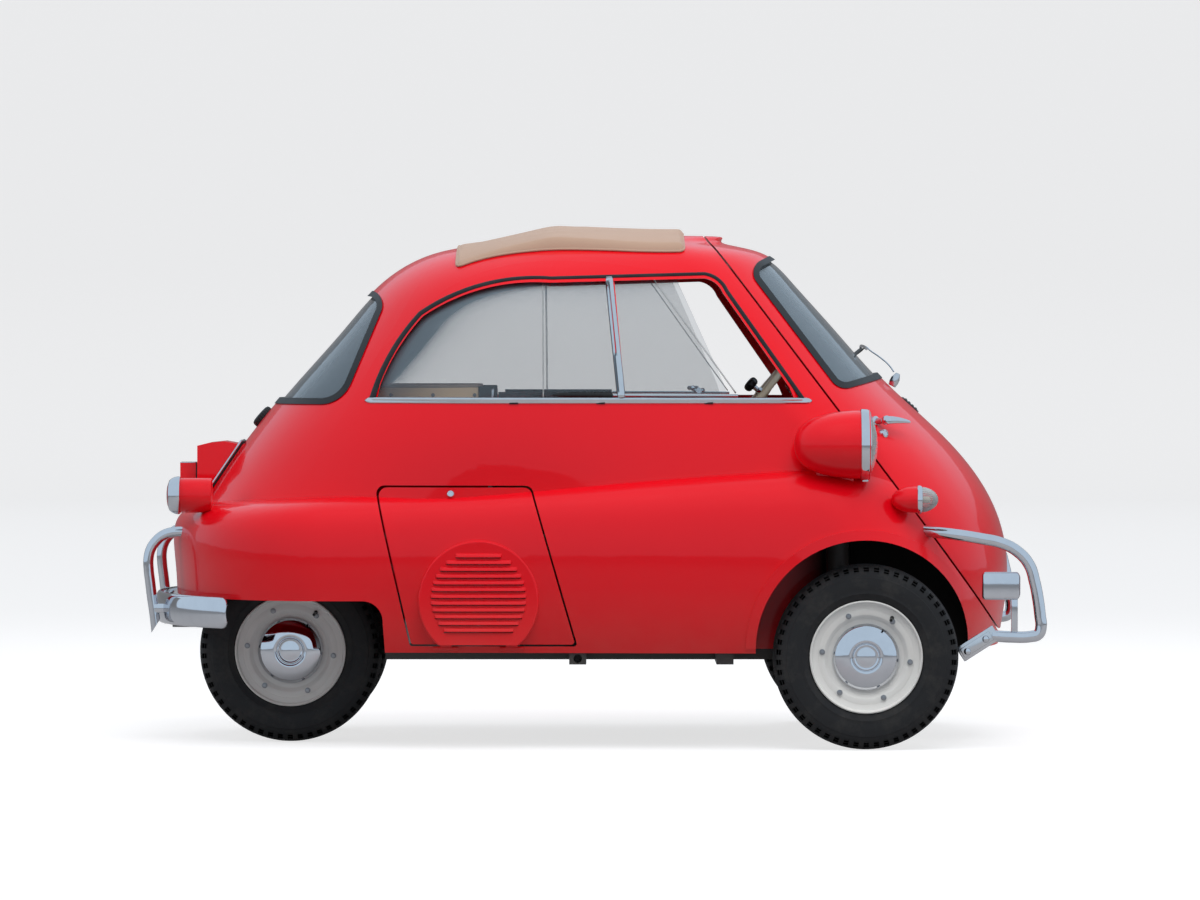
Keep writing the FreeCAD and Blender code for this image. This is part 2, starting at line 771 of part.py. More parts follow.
def engine_block():
    return box(-490, -290, -480, -CHAIN_SIDE, RAIL_TOP, 560)


# Floor, rear bulkhead and parcel shelf
FLOOR_Z = RAIL_TOP
FLOOR_THICK = 12.0
BULKHEAD_X = -272.0
SHELF_Z = 876.0


FLOOR_NOTCH_X = -40.0
PANEL_NOTCH_Y = PANEL_HINGE_Y + 40.0


def cabin_floor():
    slab = hull(WALL).common(box(BULKHEAD_X, 1060, -800, 800, FLOOR_Z, FLOOR_Z + FLOOR_THICK))
    slab = slab.cut(ahead_of_seam(-SEAM_GAP / 2.0))
    slab = slab.cut(box(BULKHEAD_X - 10, FLOOR_NOTCH_X, -800, PANEL_NOTCH_Y, 200, 400))
    for sign in (1, -1):
        slab = slab.cut(arch_drum(ARCH_RADIUS + WELL_GAP + WELL_WALL, WELL_INNER_Y - WELL_WALL, 900.0, sign))
    return slab


def rear_shelf():
    wall = box(BULKHEAD_X, BULKHEAD_X + 12, -800, 800, FLOOR_Z + FLOOR_THICK, SHELF_Z + 12)
    shelf = box(-1000, BULKHEAD_X + 12, -800, 800, SHELF_Z, SHELF_Z + 12)
    return wall.fuse(shelf).common(hull(WALL)).removeSplitter()


def parcel_tray():
    """A shallow lined tray that stands on the shelf behind the seat."""
    low = SHELF_Z + 12.0
    tray = box(-582, -262, -300, 300, low, 938)
    tray = tray.cut(box(-572, -272, -290, 290, low + 12, 1000))
    return tray


# Seat
SEAT_HALF = 480.0
SEAT_TOP = 540.0
SEAT_GAP = 0.3


def seat_cushion():
    block = box(-180, 270, -SEAT_HALF, SEAT_HALF, 430, SEAT_TOP)
    return block.makeFillet(28.0, [e for e in block.Edges if e.BoundBox.ZMin > 535])


def seat_box():
    return box(-200, 210, -440, 440, FLOOR_Z + FLOOR_THICK, 430)


def seat_back():
    rear = BULKHEAD_X + 12.0 + SEAT_GAP
    low = SEAT_TOP + SEAT_GAP
    points = [(-182, low), (rear, 560), (rear, 868), (-246, 890), (-196, 886), (-80, low)]
    return side_prism(points, -SEAT_HALF, SEAT_HALF)


# Steering wheel and column, both carried by the door
WHEEL_AT = (390.0, 300.0, 830.0)
COLUMN_DIR = (0.770, 0.0, -0.638)
WHEEL_RING = 188.0
WHEEL_TUBE = 11.0
HUB_DEEP = 36.0


def along_column(t):
    return tuple(WHEEL_AT[i] + COLUMN_DIR[i] * t for i in range(3))


def steering_column():
    pieces = [rod(17.0, along_column(HUB_DEEP + PIN_GAP), along_column(560.0))]
    x, y, z = along_column(330.0)
    bracket = rod(12.0, (x, y, z), (x + 420.0, y, z))
    x, y, z = along_column(540.0)
    foot = rod(12.0, (x, y, z), (x + 320.0, y, z))
    inside = egg(WALL)
    pieces.append(bracket.common(inside))
    pieces.append(foot.common(inside))
    return one(pieces)


def steering_wheel():
    axis = V(*COLUMN_DIR)
    centre = V(*WHEEL_AT)
    ringed = Part.makeTorus(WHEEL_RING, WHEEL_TUBE, centre, axis)
    pieces = [ringed, rod(30.0, along_column(-8.0), along_column(HUB_DEEP))]
    down = V(-0.638, 0, -0.770)
    for turn in (90.0, 210.0, 330.0):
        direction = down * math.cos(math.radians(turn)) + ACROSS * math.sin(math.radians(turn))
        hub = V(*along_column(20.0))
        pieces.append(rod(7.0, tuple(hub), tuple(centre + direction * (WHEEL_RING - 2.0))))
    return one(pieces)


def floor_controls():
    top = FLOOR_Z + FLOOR_THICK
    pieces = []
    for y in (170.0, 250.0, 330.0):
        pieces.append(rod(7.0, (780, y, top), (830, y, 410)))
        pieces.append(rod(22.0, (824, y, 408), (836, y, 424)))
    under = box(700, 900, 100, 400, FLOOR_Z, top + 0.3)
    return Part.makeCompound([one(pieces[i:i + 2]).cut(under) for i in (0, 2, 4)])


def gear_lever():
    stem = rod(8.0, (250, 495, 520), (330, 470, 700))
    knob = Part.makeSphere(22.0, V(330, 470, 705))
    base = box(215, 285, 486, 720, 480, 525).common(hull(WALL))
    return one([stem, knob, base])


# Lamps
HEADLAMP = (624.0, 787.0)
HEADLAMP_OUTLINE = [
    (518, 0), (522, 26), (540, 50), (572, 70), (618, 82), (672, 87), (690, 87), (690, 90), (712, 90),
    (712, 80), (700, 76), (690, 0),
]
LENS_OUTLINE = [(691, 0), (701, 75), (712, 79), (722, 66), (731, 40), (735, 0)]


def turned_x(points, y, z):
    corners = [V(x, 0, r) for x, r in points]
    wire = Part.makePolygon(corners + corners[:1])
    solid = Part.Face(wire).revolve(V(0, 0, 0), FORWARD, 360)
    solid.translate(V(0, y, z))
    return solid


def pair(make):
    left = make()
    return Part.makeCompound([left, mirrored(left)])


def headlamp_pod():
    """A bullet pod on a low fairing that runs down to the wing."""
    y, z = HEADLAMP
    pod = turned_x(HEADLAMP_OUTLINE, y, z)
    foot = [(556, z - 34), (590, z + 5), (672, z + 5), (672, z - 150), (612, z - 150)]
    fairing = across(rounded(foot, [24.0, 24.0, 0, 0, 0]), y - 150.0, y - 12.0)
    return pod.fuse(fairing).cut(hull(0.0))


def headlamp_lens():
    return turned_x(LENS_OUTLINE, *HEADLAMP)


TURN_LAMP = (612.0, 642.0)


def turn_lamp():
    outline = [(770, 0), (778, 20), (800, 31), (846, 31), (846, 34), (858, 34), (858, 28), (880, 18), (890, 0)]
    return turned_x(outline, *TURN_LAMP).cut(hull(0.0))


TAIL_LAMP = (350.0, 650.0)


def tail_lamp():
    outline = [(-1117, 0), (-1112, 26), (-1100, 44), (-1092, 51), (-1080, 51), (-1078, 44), (-1000, 44), (-1000, 0)]
    return turned_x(outline, *TAIL_LAMP).cut(hull(0.0))


# Number plate housing, with two screw holes in its face
PLATE_HALF = 80.0
PLATE_SCREW_Y = 55.0
PLATE_SCREW_RADIUS = 3.0
PLATE_FACE_X = -1056.0
PLATE_SCREW_Z = 690.0


def plate_housing():
    outline = [(-900, 650), (-900, 780), (-946, 781), (-985, 788), (-1024, 784)]
    outline += [(PLATE_FACE_X, 776), (PLATE_FACE_X, 640), (-1040, 600)]
    body = side_prism(outline, -PLATE_HALF, PLATE_HALF)
    hood = box(-1104, PLATE_FACE_X, -40, 40, PLATE_SCREW_Z - 12, PLATE_SCREW_Z + 40)
    body = body.cut(hull(0.0))
    body = body.fuse(hood)
    for y in (-PLATE_SCREW_Y, PLATE_SCREW_Y):
        start = (PLATE_FACE_X, y, PLATE_SCREW_Z)
        body = body.cut(rod(PLATE_SCREW_RADIUS, start, (PLATE_FACE_X + 25, y, PLATE_SCREW_Z)))
    return body


def filler_cap():
    cap = rod(29.0, (-850, 0, 822), (-897, 0, 863))
    return cap.cut(hull(0.0))


# Bumpers
def bent_tube(points, radii, radius):
    """A round tube along a path of straight runs with rounded corners."""
    path = [V(*p) for p in points]
    edges = []
    last = path[0]
    for i in range(1, len(path) - 1):
        p = path[i]
        a = (path[i - 1] - p).normalize()
        b = (path[i + 1] - p).normalize()
        half = math.acos(max(-1.0, min(1.0, a.dot(b)))) / 2.0
        r = radii[i - 1]
        reach = r / math.tan(half)
        start = p + a * reach
        end = p + b * reach
        mid_dir = V(a + b).normalize()
        middle = p + mid_dir * (r / math.sin(half) - r)
        edges.append(Part.makeLine(last, start))
        edges.append(Part.Arc(start, middle, end).toShape())
        last = end
    edges.append(Part.makeLine(last, path[-1]))
    spine = Part.Wire(edges)
    circle = Part.Wire([Part.makeCircle(radius, path[0], path[1] - path[0])])
    return spine.makePipeShell([circle], True, False)


def front_bumper():
    y = 592.0
    hoop = bent_tube(
        [(780, y, 578), (1085, y, 560), (1172, y, 318), (960, y, 300)],
        [60.0, 34.0],
        14.0,
    )
    hoop = hoop.cut(hull(0.0))
    blade = box(1010, 1120, y - 4, y + 4, 380, 450)
    return hoop.fuse(blade)


LOOP_Y = 250.0


def rear_bumper():
    low, high = 313.0, 386.0
    x_mid = -702.0

    def oval(reach, half):
        curve = half_oval(x_mid, -reach, half, low, 0.0)
        wire = Part.Wire([curve, Part.makeLine(V(x_mid, half, low), V(x_mid, -half, low))])
        return Part.Face(wire).extrude(V(0, 0, high - low))

    blade = oval(461.0, 661.0).cut(oval(455.0, 655.0))
    blade = blade.common(box(-1300, -954, -900, 900, 0, 900))
    pieces = [blade]
    for y in (-LOOP_Y, LOOP_Y):
        path = [(-1100, y, 300), (-1172, y, 300), (-1172, y, 560), (-1040, y, 560)]
        loop = bent_tube(path, [30.0, 40.0], 12.0).cut(hull(0.0))
        clamp = box(-1168, -1110, y - 14, y + 14, 338, 362)
        pieces.append(loop.fuse(clamp))
    for y in (-HOOP_Y, HOOP_Y):
        pieces.append(rod(9.0, (-1159, y, 364), (-1000, y, 364)))
    return one(pieces)


# Door lever: a round hub on the door's near shoulder and a lever along the skin
LEVER_FOOT = (702.0, -412.0, 840.0)
LEVER_HUB = (773.0, -483.0, 850.0)
LEVER_TIP = (826.0, -424.0, 836.0)
LEVER_HUB_RADIUS = 11.0
LEVER_ROOT_RADIUS = 9.0
LEVER_TIP_RADIUS = 3.5


def door_handle():
    hub = rod(LEVER_HUB_RADIUS, LEVER_FOOT, LEVER_HUB)
    back = V(*LEVER_HUB) + (V(*LEVER_FOOT) - V(*LEVER_HUB)).normalize() * 7.0
    run = V(*LEVER_TIP) - back
    lever = Part.makeCone(LEVER_ROOT_RADIUS, LEVER_TIP_RADIUS, run.Length, back, run)
    return hub.fuse(lever).cut(egg(0.0))


def wiper():
    """A pivot below the screen, a bent arm and a level blade."""
    x, y, z = 808.0, -20.0, 950.0
    pivot = rod(8.0, (x - 40, y, z - 30), (x, y, z + 20))
    bend = (x - 36.0, 45.0, z + 68.0)
    lower = rod(3.5, (x - 4, y, z + 14), bend)
    upper = rod(3.5, bend, (x - 72.0, 110.0, z + 96.0))
    blade = rod(5.0, (x - 74.0, -30.0, z + 92.0), (x - 74.0, 250.0, z + 92.0))
    return one([pivot, lower, upper, blade]).cut(egg(0.0))


def build_all():
    nodes = body_panels()
    nodes["engine_panel"] = engine_panel()
    nodes["front_door"] = front_door()
    seal, glass = seal_and_glass(windscreen_wire(), -900.0, 900.0)
    nodes["windscreen_seal"] = seal
    nodes["windscreen_glass"] = glass
    seal, glass = seal_and_glass(rear_window_wire(), -900.0, 900.0)
    nodes["rear_window_seal"] = seal
    nodes["rear_window_glass"] = glass
    frame, pane = side_windows()
    nodes["side_window_frames"] = Part.makeCompound([frame, mirrored(frame)])
    nodes["side_windows"] = Part.makeCompound([pane, mirrored(pane)])
    nodes["fabric_roof"] = fabric_roof()
    nodes["front_axle_beam"] = front_axle_beam()
    for name, sign in (("left", 1), ("right", -1)):
        front = (FRONT_AXLE_X, sign * FRONT_TRACK / 2.0)
        rear = (REAR_AXLE_X, sign * REAR_TRACK / 2.0)
        nodes["knuckle_" + name] = knuckle(sign)
        nodes["front_tyre_" + name] = tyre(*front)
        nodes["front_wheel_" + name] = wheel(*front)
        nodes["front_hubcap_" + name] = hubcap(*front)
        nodes["rear_tyre_" + name] = tyre(*rear)
        hub_inner = (rear[0], rear[1] - sign * 30.0, AXLE_Z)
        hub_outer = (rear[0], rear[1] + sign * 24.0, AXLE_Z)
        hub = rod(HUB_BORE + 1.0, hub_inner, hub_outer)
        nodes["rear_wheel_" + name] = wheel(*rear).fuse(hub.cut(rear_axle_shaft()))
        nodes["rear_hubcap_" + name] = hubcap(*rear)
    nodes["rear_axle_case"] = rear_axle_case()
    nodes["rear_axle_shaft"] = rear_axle_shaft()
    nodes["chassis_frame"] = chassis_frame()
    nodes["silencer"] = silencer()
    nodes["engine_block"] = engine_block()
    nodes["cabin_floor"] = cabin_floor()
    nodes["rear_shelf"] = rear_shelf()
    nodes["parcel_tray"] = parcel_tray()
    nodes["seat_box"] = seat_box()
    nodes["seat_cushion"] = seat_cushion()
    nodes["seat_back"] = seat_back()
    nodes["steering_column"] = steering_column()
    nodes["steering_wheel"] = steering_wheel()
    nodes["pedals"] = floor_controls()
    nodes["gear_lever"] = gear_lever()
    nodes["headlamp_pods"] = pair(headlamp_pod)
    nodes["headlamp_lenses"] = pair(headlamp_lens)
    nodes["turn_lamps"] = pair(turn_lamp)
    nodes["tail_lamps"] = pair(tail_lamp)
    nodes["plate_housing"] = plate_housing()
    nodes["filler_cap"] = filler_cap()
    nodes["front_bumpers"] = pair(front_bumper)
    nodes["rear_bumper"] = rear_bumper()
    nodes["door_handle"] = door_handle()
    nodes["wiper"] = wiper()
    return nodes


os.makedirs("parts", exist_ok=True)
for name, shape in build_all().items():
    if not shape.isValid() or not shape.Solids:
        print("bad shape:", name, len(shape.Solids))
    if len(shape.Solids) > 1:
        print("solids:", name, [round(s.Volume / 1000) for s in shape.Solids])
    shape.exportStep("parts/%s.step" % name)
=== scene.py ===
# %% [markdown]
# # A bubble car, dressed for the studio
# The CAD model gives every panel, wheel and joint its true size and place. This lesson gives those
# pieces their finish: deep red paint over an egg-shaped body, chrome, rubber, cloth and glass.
# Everything is in metres, with +X forward, +Y to the car's left and +Z up, so a piece is made where
# it belongs and never has to be fitted afterwards.

# %% Load the car's frame
import json
import math

import bmesh
import bpy
from mathutils import Matrix, Vector
from mathutils.bvhtree import BVHTree


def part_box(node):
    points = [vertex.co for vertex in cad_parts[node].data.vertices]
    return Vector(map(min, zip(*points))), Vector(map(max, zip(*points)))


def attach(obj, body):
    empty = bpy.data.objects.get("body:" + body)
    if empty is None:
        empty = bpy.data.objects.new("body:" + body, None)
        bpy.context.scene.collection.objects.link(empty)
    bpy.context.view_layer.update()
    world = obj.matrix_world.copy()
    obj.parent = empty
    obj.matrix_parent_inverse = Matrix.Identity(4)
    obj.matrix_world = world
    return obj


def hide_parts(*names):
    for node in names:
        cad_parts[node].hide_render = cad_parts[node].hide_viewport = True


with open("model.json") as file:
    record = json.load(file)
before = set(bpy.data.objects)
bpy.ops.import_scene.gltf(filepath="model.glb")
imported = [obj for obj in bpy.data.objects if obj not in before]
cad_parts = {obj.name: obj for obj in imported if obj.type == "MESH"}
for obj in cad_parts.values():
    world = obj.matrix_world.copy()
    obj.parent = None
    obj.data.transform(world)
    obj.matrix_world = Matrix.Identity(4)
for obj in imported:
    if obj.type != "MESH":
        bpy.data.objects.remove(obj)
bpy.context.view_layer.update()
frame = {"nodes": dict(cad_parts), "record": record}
nodes = frame["nodes"]

# %% [markdown]
# ## The camera
# The photographer stood far off with a long lens, square to the car's right side and at about window
# height. At 16.5 m a lens of 185 mm frames the car as the photograph does. The camera looks down by
# less than a degree, which puts the horizon a little above the middle of the picture.

# %% Place the camera
CAMERA_PLACE = (0.0175, -16.5, 1.031)
LENS_MM, SENSOR_MM = 184.86, 36
HORIZON_ABOVE_MIDDLE_PX, LENS_PX = 100, 6162

camera_data = bpy.data.cameras.new("studio_camera")
camera_data.lens = LENS_MM
camera_data.sensor_width = SENSOR_MM
camera_data.clip_end = 100
camera = bpy.data.objects.new("studio_camera", camera_data)
bpy.context.scene.collection.objects.link(camera)
tilt = math.atan(HORIZON_ABOVE_MIDDLE_PX / LENS_PX)
camera.location = CAMERA_PLACE
camera.rotation_euler = (math.radians(90) - tilt, 0, 0)
bpy.context.scene.camera = camera
bpy.context.scene.view_settings.view_transform = "Standard"
print("camera tilt in degrees:", round(math.degrees(tilt), 2))

# %% [markdown]
# ## Shader sums
# A finish is worked out from a few patterns. Writing `noise * 0.2 + 0.4` reads better than wiring
# three Math nodes by hand, so a small class wraps a socket and adds those nodes by itself. Every sum
# is the same method with another operation, so one function makes them all.

# %% A number socket that can be used in sums


def sum_by(operation, swapped=False):
    """A method that joins a value with others by one Math node."""

    def method(self, *others):
        terms = (*others, self) if swapped else (self, *others)
        return self.finish.node("ShaderNodeMath", {"operation": operation}, dict(enumerate(terms)))

    return method


class Value:
    """A socket of a shader; sums on it add Math nodes."""

    def __init__(self, finish, socket):
        self.finish, self.socket = finish, socket

    __add__, __radd__ = sum_by("ADD"), sum_by("ADD", True)
    __sub__, __rsub__ = sum_by("SUBTRACT"), sum_by("SUBTRACT", True)
    __mul__, __rmul__ = sum_by("MULTIPLY"), sum_by("MULTIPLY", True)
    __truediv__ = sum_by("DIVIDE")
    sine, absolute = sum_by("SINE"), sum_by("ABSOLUTE")
    above, below = sum_by("GREATER_THAN"), sum_by("LESS_THAN")
    at_most, at_least = sum_by("MINIMUM"), sum_by("MAXIMUM")

    def as_share(self):
        """The value, kept between 0 and 1."""
        return self.at_least(0).at_most(1)


# %% A finish: one material and the ways to build it
class Finish:
    """A material whose nodes are added one call at a time."""

    def __init__(self, name, **surface):
        self.material = bpy.data.materials.new(name)
        self.material.use_nodes = True
        self.tree = self.material.node_tree
        self.surface = self.tree.nodes["Principled BSDF"]
        for socket, value in surface.items():
            self.set(socket.replace("_", " "), value)

    def node(self, kind, settings=None, sockets=None, output=0):
        made = self.tree.nodes.new(kind)
        for name, value in (settings or {}).items():
            if name == "stops":
                self.ramp(made.color_ramp, value)
            else:
                setattr(made, name, value)
        for key, value in (sockets or {}).items():
            self.plug(made.inputs[key], value)
        return Value(self, made.outputs[output])

    def ramp(self, ramp, stops):
        while len(ramp.elements) < len(stops):
            ramp.elements.new(0.5)
        for element, (place, colour) in zip(ramp.elements, stops):
            element.position = place
            element.color = (*colour, 1)

    def plug(self, socket, value):
        if isinstance(value, Value):
            self.tree.links.new(value.socket, socket)
        elif socket.type == "RGBA" and len(value) == 3:
            socket.default_value = (*value, 1)
        else:
            socket.default_value = value

    def set(self, socket, value):
        self.plug(self.surface.inputs[socket], value)

    def place(self):
        """Object coordinates, which are metres on the car itself."""
        return self.node("ShaderNodeTexCoord", output="Object")

    def axis(self, name):
        """One of X, Y or Z of the place."""
        return self.node("ShaderNodeSeparateXYZ", {}, {0: self.place()}, output=name)

    def noise(self, scale, detail=3, roughness=0.5):
        sockets = {"Vector": self.place(), "Scale": scale, "Detail": detail, "Roughness": roughness}
        return self.node("ShaderNodeTexNoise", {}, sockets)

    def mix(self, mask, first, second):
        """A colour between two others, by a mask of 0 to 1."""
        return self.node("ShaderNodeMix", {"data_type": "RGBA"}, {0: mask, 6: first, 7: second}, output=2)

    def bump(self, height, distance, strength):
        sockets = {"Height": height, "Distance": distance, "Strength": strength}
        self.set("Normal", self.node("ShaderNodeBump", {}, sockets))


# %% [markdown]
# ## Stage and light
# The car stands on a plain pale floor that curves up into a plain wall. To the camera and through
# glass both are nearly white, but they light the car only as grey board does, so no colour bleaches.
# One wide soft panel hangs overhead and three weaker ones fill the front, the back and the far side.
# Mirrors don't show the panels, so chrome and paint reflect a pale blue sky over a darker floor.

# %% Build the floor and wall
FLOOR_HALF, WALL_BACK, WALL_HIGH = 30, 27, 9
CURVE_RADIUS, CURVE_STEPS = 1.6, 16


def mesh_object(name, shape):
    """Turns a finished bmesh into an object at the origin."""
    mesh = bpy.data.meshes.new(name)
    shape.to_mesh(mesh)
    shape.free()
    made = bpy.data.objects.new(name, mesh)
    bpy.context.scene.collection.objects.link(made)
    return made


def joined_edges(shape, points, closed=False):
    """A row of joined edges through the points."""
    corners = [shape.verts.new(p) for p in points]
    pairs = list(zip(corners, corners[1:] + corners[:1]))
    for pair in pairs if closed else pairs[:-1]:
        shape.edges.new(pair)


def only(kind, geometry):
    """The vertices, edges or faces in what an operator returns."""
    return [g for g in geometry if isinstance(g, kind)]


def facing_out(shape):
    bmesh.ops.recalc_face_normals(shape, faces=shape.faces[:])
    return shape


shape = bmesh.new()
bend_from = WALL_BACK - CURVE_RADIUS
outline = [(-FLOOR_HALF, -FLOOR_HALF, 0), (-FLOOR_HALF, bend_from, 0)]
for step in range(1, CURVE_STEPS + 1):
    angle = math.radians(90 * step / CURVE_STEPS)
    y, z = bend_from + CURVE_RADIUS * math.sin(angle), CURVE_RADIUS * (1 - math.cos(angle))
    outline.append((-FLOOR_HALF, y, z))
joined_edges(shape, outline + [(-FLOOR_HALF, WALL_BACK, WALL_HIGH)])
pulled = bmesh.ops.extrude_edge_only(shape, edges=shape.edges[:])["geom"]
bmesh.ops.translate(shape, verts=only(bmesh.types.BMVert, pulled), vec=(2 * FLOOR_HALF, 0, 0))
floor = mesh_object("studio_floor", facing_out(shape))
floor.data.shade_smooth()
print("floor and wall faces:", len(floor.data.polygons))

# %% Give the floor and the surroundings a white look and a grey light
WHITE_LOOK, WORLD_LIGHT = 0.70, 0.42
FLOOR_IN_MIRRORS, AIR_IN_MIRRORS = 0.12, 0.80
AIR_COLOUR, AIR_COLOUR_IN_MIRRORS = (0.92, 0.955, 1), (0.70, 0.85, 1)


def ray(finish, kind):
    return finish.node("ShaderNodeLightPath", output="Is " + kind + " Ray")


def seen_directly(finish, in_mirrors):
    """1 for what the camera or glass looks at, less for a mirror, else 0."""
    direct = ray(finish, "Camera").at_least(ray(finish, "Transmission"))
    return direct.at_least(ray(finish, "Glossy") * in_mirrors)


board = Finish("studio_board", Roughness=0.9, Base_Color=(0.38, 0.38, 0.39), Emission_Color=(1, 1, 1))
board.set("Emission Strength", seen_directly(board, FLOOR_IN_MIRRORS) * WHITE_LOOK)
floor.data.materials.append(board.material)

world = bpy.data.worlds.new("studio_air")
bpy.context.scene.world = world
world.use_nodes = True
sky = Finish.__new__(Finish)
sky.tree = world.node_tree
air = sky.tree.nodes["Background"].inputs
sky.plug(air["Color"], sky.mix(ray(sky, "Glossy"), AIR_COLOUR, AIR_COLOUR_IN_MIRRORS))
sky.plug(air["Strength"], seen_directly(sky, AIR_IN_MIRRORS) * (1 - WORLD_LIGHT) + WORLD_LIGHT)
print("world light:", WORLD_LIGHT)

# %% Hang the light panels
# name, place, aim, size, watts
PANELS = [
    ("light_above", (0.6, -3.2, 5.2), (0, 0, 0.6), 4.2, 215),
    ("light_front", (6, -1.5, 2.6), (0.3, 0, 0.7), 2.6, 70),
    ("light_rear", (-6, -1, 2.8), (-0.3, 0, 0.7), 2.6, 60),
    ("light_far_side", (0, 4.2, 4.4), (0, 0, 0.7), 3, 75),
]
for name, place, aim, size, watts in PANELS:
    lamp = bpy.data.lights.new(name, "AREA")
    lamp.energy = watts
    lamp.size = size
    panel = bpy.data.objects.new(name, lamp)
    bpy.context.scene.collection.objects.link(panel)
    panel.location = place
    panel.rotation_euler = (Vector(aim) - Vector(place)).to_track_quat("-Z", "Y").to_euler()
    panel.visible_glossy = False
print("light panels:", len(PANELS))

# %% [markdown]
# ## Finishes
# Every surface of the real car has its own skin. Paint has a clear top layer with a faint ripple and
# grows dull with dust near the sills. Chrome is bright but never even. Rubber is dark and dry,
# with grey where it is worn. Each finish below is made from Object coordinates, which are metres on
# the car itself, so a pattern has its true size and stays put from every side.

# %% Sprayed paint, and where the front arches have black underseal and painted shade
DUST_LOW, DUST_REACH, DUST_STRENGTH = 0.26, 0.16, 0.16
DUST_COLOUR, UNDERSEAL_AND_SHADE_COLOUR = (0.38, 0.30, 0.24), (0.012, 0.011, 0.010)


def painted(name, colour, deep, roughness=0.30, coat=1, sealed_and_shaded=None):
    """A sprayed paint: faint depth changes, ripple and sill dust."""
    made = Finish(name, Coat_Roughness=0.04, Specular_IOR_Level=0.12)
    height = (made.axis("Z") - DUST_LOW) / DUST_REACH
    dust = (1 - height).as_share() * made.noise(9, 5, 0.65) * DUST_STRENGTH
    look = made.mix(dust, made.mix(made.noise(2.2, 2), deep, colour), DUST_COLOUR)
    rough, gloss = dust * 0.8 + roughness, coat - dust * 1.6
    # the black in the arches is underseal and painted shade together
    if sealed_and_shaded:
        seal = sealed_and_shaded(made)
        look = made.mix(seal, look, UNDERSEAL_AND_SHADE_COLOUR)
        rough, gloss = rough.at_least(seal * 0.85), gloss * (1 - seal)
    made.set("Base Color", look)
    made.set("Roughness", rough)
    made.set("Coat Weight", gloss)
    made.bump(made.noise(260, 1, 0.4), 0.00012, 0.35)
    return made.material


ARCH_X, ARCH_Z, ARCH_REACH = 0.698, 0.262, 0.3015
WELL_BACK, WELL_FACE = 0.394, 0.406
# the red-to-black fade on the inner wall is painted as a shadow falloff
RED_TO_X, FADE_LENGTH = 0.5, 0.1
# X, and how far out from the middle the underseal and its painted shade reach there
UNDERSEAL_AND_SHADE_TO = [
    (0.4, 0.641), (0.548, 0.677), (0.667, 0.67), (0.788, 0.622), (0.893, 0.548), (0.957, 0.478),
    (0.975, 0.425), (0.99, 0.37),
]
RAMP_FROM, RAMP_LENGTH = 0.4, 0.6


def arch_underseal_and_shade(finish):
    """1 inside the front wheel arches: black underseal that is also painted shade there, fading out at the
    rear of their inner wall as a painted shadow falloff.
    """
    x, out = finish.axis("X"), finish.axis("Y").absolute()
    away_x, away_z = x - ARCH_X, finish.axis("Z") - ARCH_Z
    near = (away_x * away_x + away_z * away_z).below(ARCH_REACH ** 2)
    stops = [((at - RAMP_FROM) / RAMP_LENGTH, (y, y, y)) for at, y in UNDERSEAL_AND_SHADE_TO]
    edge = finish.node("ShaderNodeValToRGB", {"stops": stops}, {0: (x - RAMP_FROM) / RAMP_LENGTH})
    bare = (1 - (x - RED_TO_X) / FADE_LENGTH).as_share()
    return near * edge.above(out) * out.above(WELL_BACK) * (1 - bare * out.below(WELL_FACE))


body_red = painted("body_red", (0.8, 0.002, 0.010), (0.74, 0.002, 0.009), coat=0.5, sealed_and_shaded=arch_underseal_and_shade)
wheel_white = painted("wheel_white", (0.80, 0.80, 0.78), (0.74, 0.74, 0.71), 0.34, 0.6)
cabin_grey = painted("cabin_grey", (0.40, 0.39, 0.37), (0.33, 0.32, 0.30), 0.45, 0.3)
print("paints:", [m.name for m in (body_red, wheel_white, cabin_grey)])

# %% Metals, chassis paint, lens, ivory and piping: two mottled colours


def mottled(name, first, second, noise, rough, bump=None, **surface):
    """A noise moves the colour, the gloss by (share, least), and a bump adds grain."""
    made = Finish(name, **surface)
    cloud = made.noise(*noise)
    made.set("Base Color", made.mix(cloud, first, second))
    made.set("Roughness", cloud * rough[0] + rough[1])
    if bump:
        grain, depth, strength = bump
        made.bump(made.noise(*grain), depth, strength)
    return made.material


def metal(name, colour, least, share, scale=30):
    """A metal whose polish varies a little from place to place."""
    darker = tuple(c * 0.86 for c in colour)
    grain = ((scale * 12, 2), 0.0001, 0.12)
    return mottled(name, colour, darker, (scale, 4, 0.6), (share, least), grain, Metallic=1)


chrome = metal("chrome", (0.68, 0.70, 0.74), 0.03, 0.06)
bright_trim = metal("bright_trim", (0.68, 0.69, 0.71), 0.14, 0.16)
steel = metal("steel", (0.34, 0.34, 0.35), 0.34, 0.25, 45)
cast_alloy = metal("cast_alloy", (0.50, 0.50, 0.49), 0.42, 0.30, 60)
chassis_black = mottled("chassis_black", (0.018, 0.018, 0.019), (0.07, 0.062, 0.053), (14, 6, 0.7),
                        (0.35, 0.42), ((220,), 0.0004, 0.4), Coat_Weight=0.15)
red_lens = mottled("red_lens", (0.50, 0.004, 0.006), (0.34, 0.002, 0.004), (60, 2), (0.08, 0.10),
                   Coat_Weight=1, Coat_Roughness=0.03)
piping = mottled("seat_piping", (0.60, 0.54, 0.42), (0.45, 0.39, 0.29), (25, 4), (0.15, 0.42))
# the ivory is painted lighter than its own colour, as painted light for the steering wheel in the shaded
# cabin
ivory_and_painted_light = mottled("ivory_plastic", (0.86, 0.78, 0.60), (0.76, 0.66, 0.47), (12, 4, 0.6), (0.12, 0.24),
                ((200, 2), 0.0001, 0.25), Coat_Weight=0.4, Coat_Roughness=0.1)
print("mottled finishes:", 8)

# %% Rubber, black plastic and floor matting


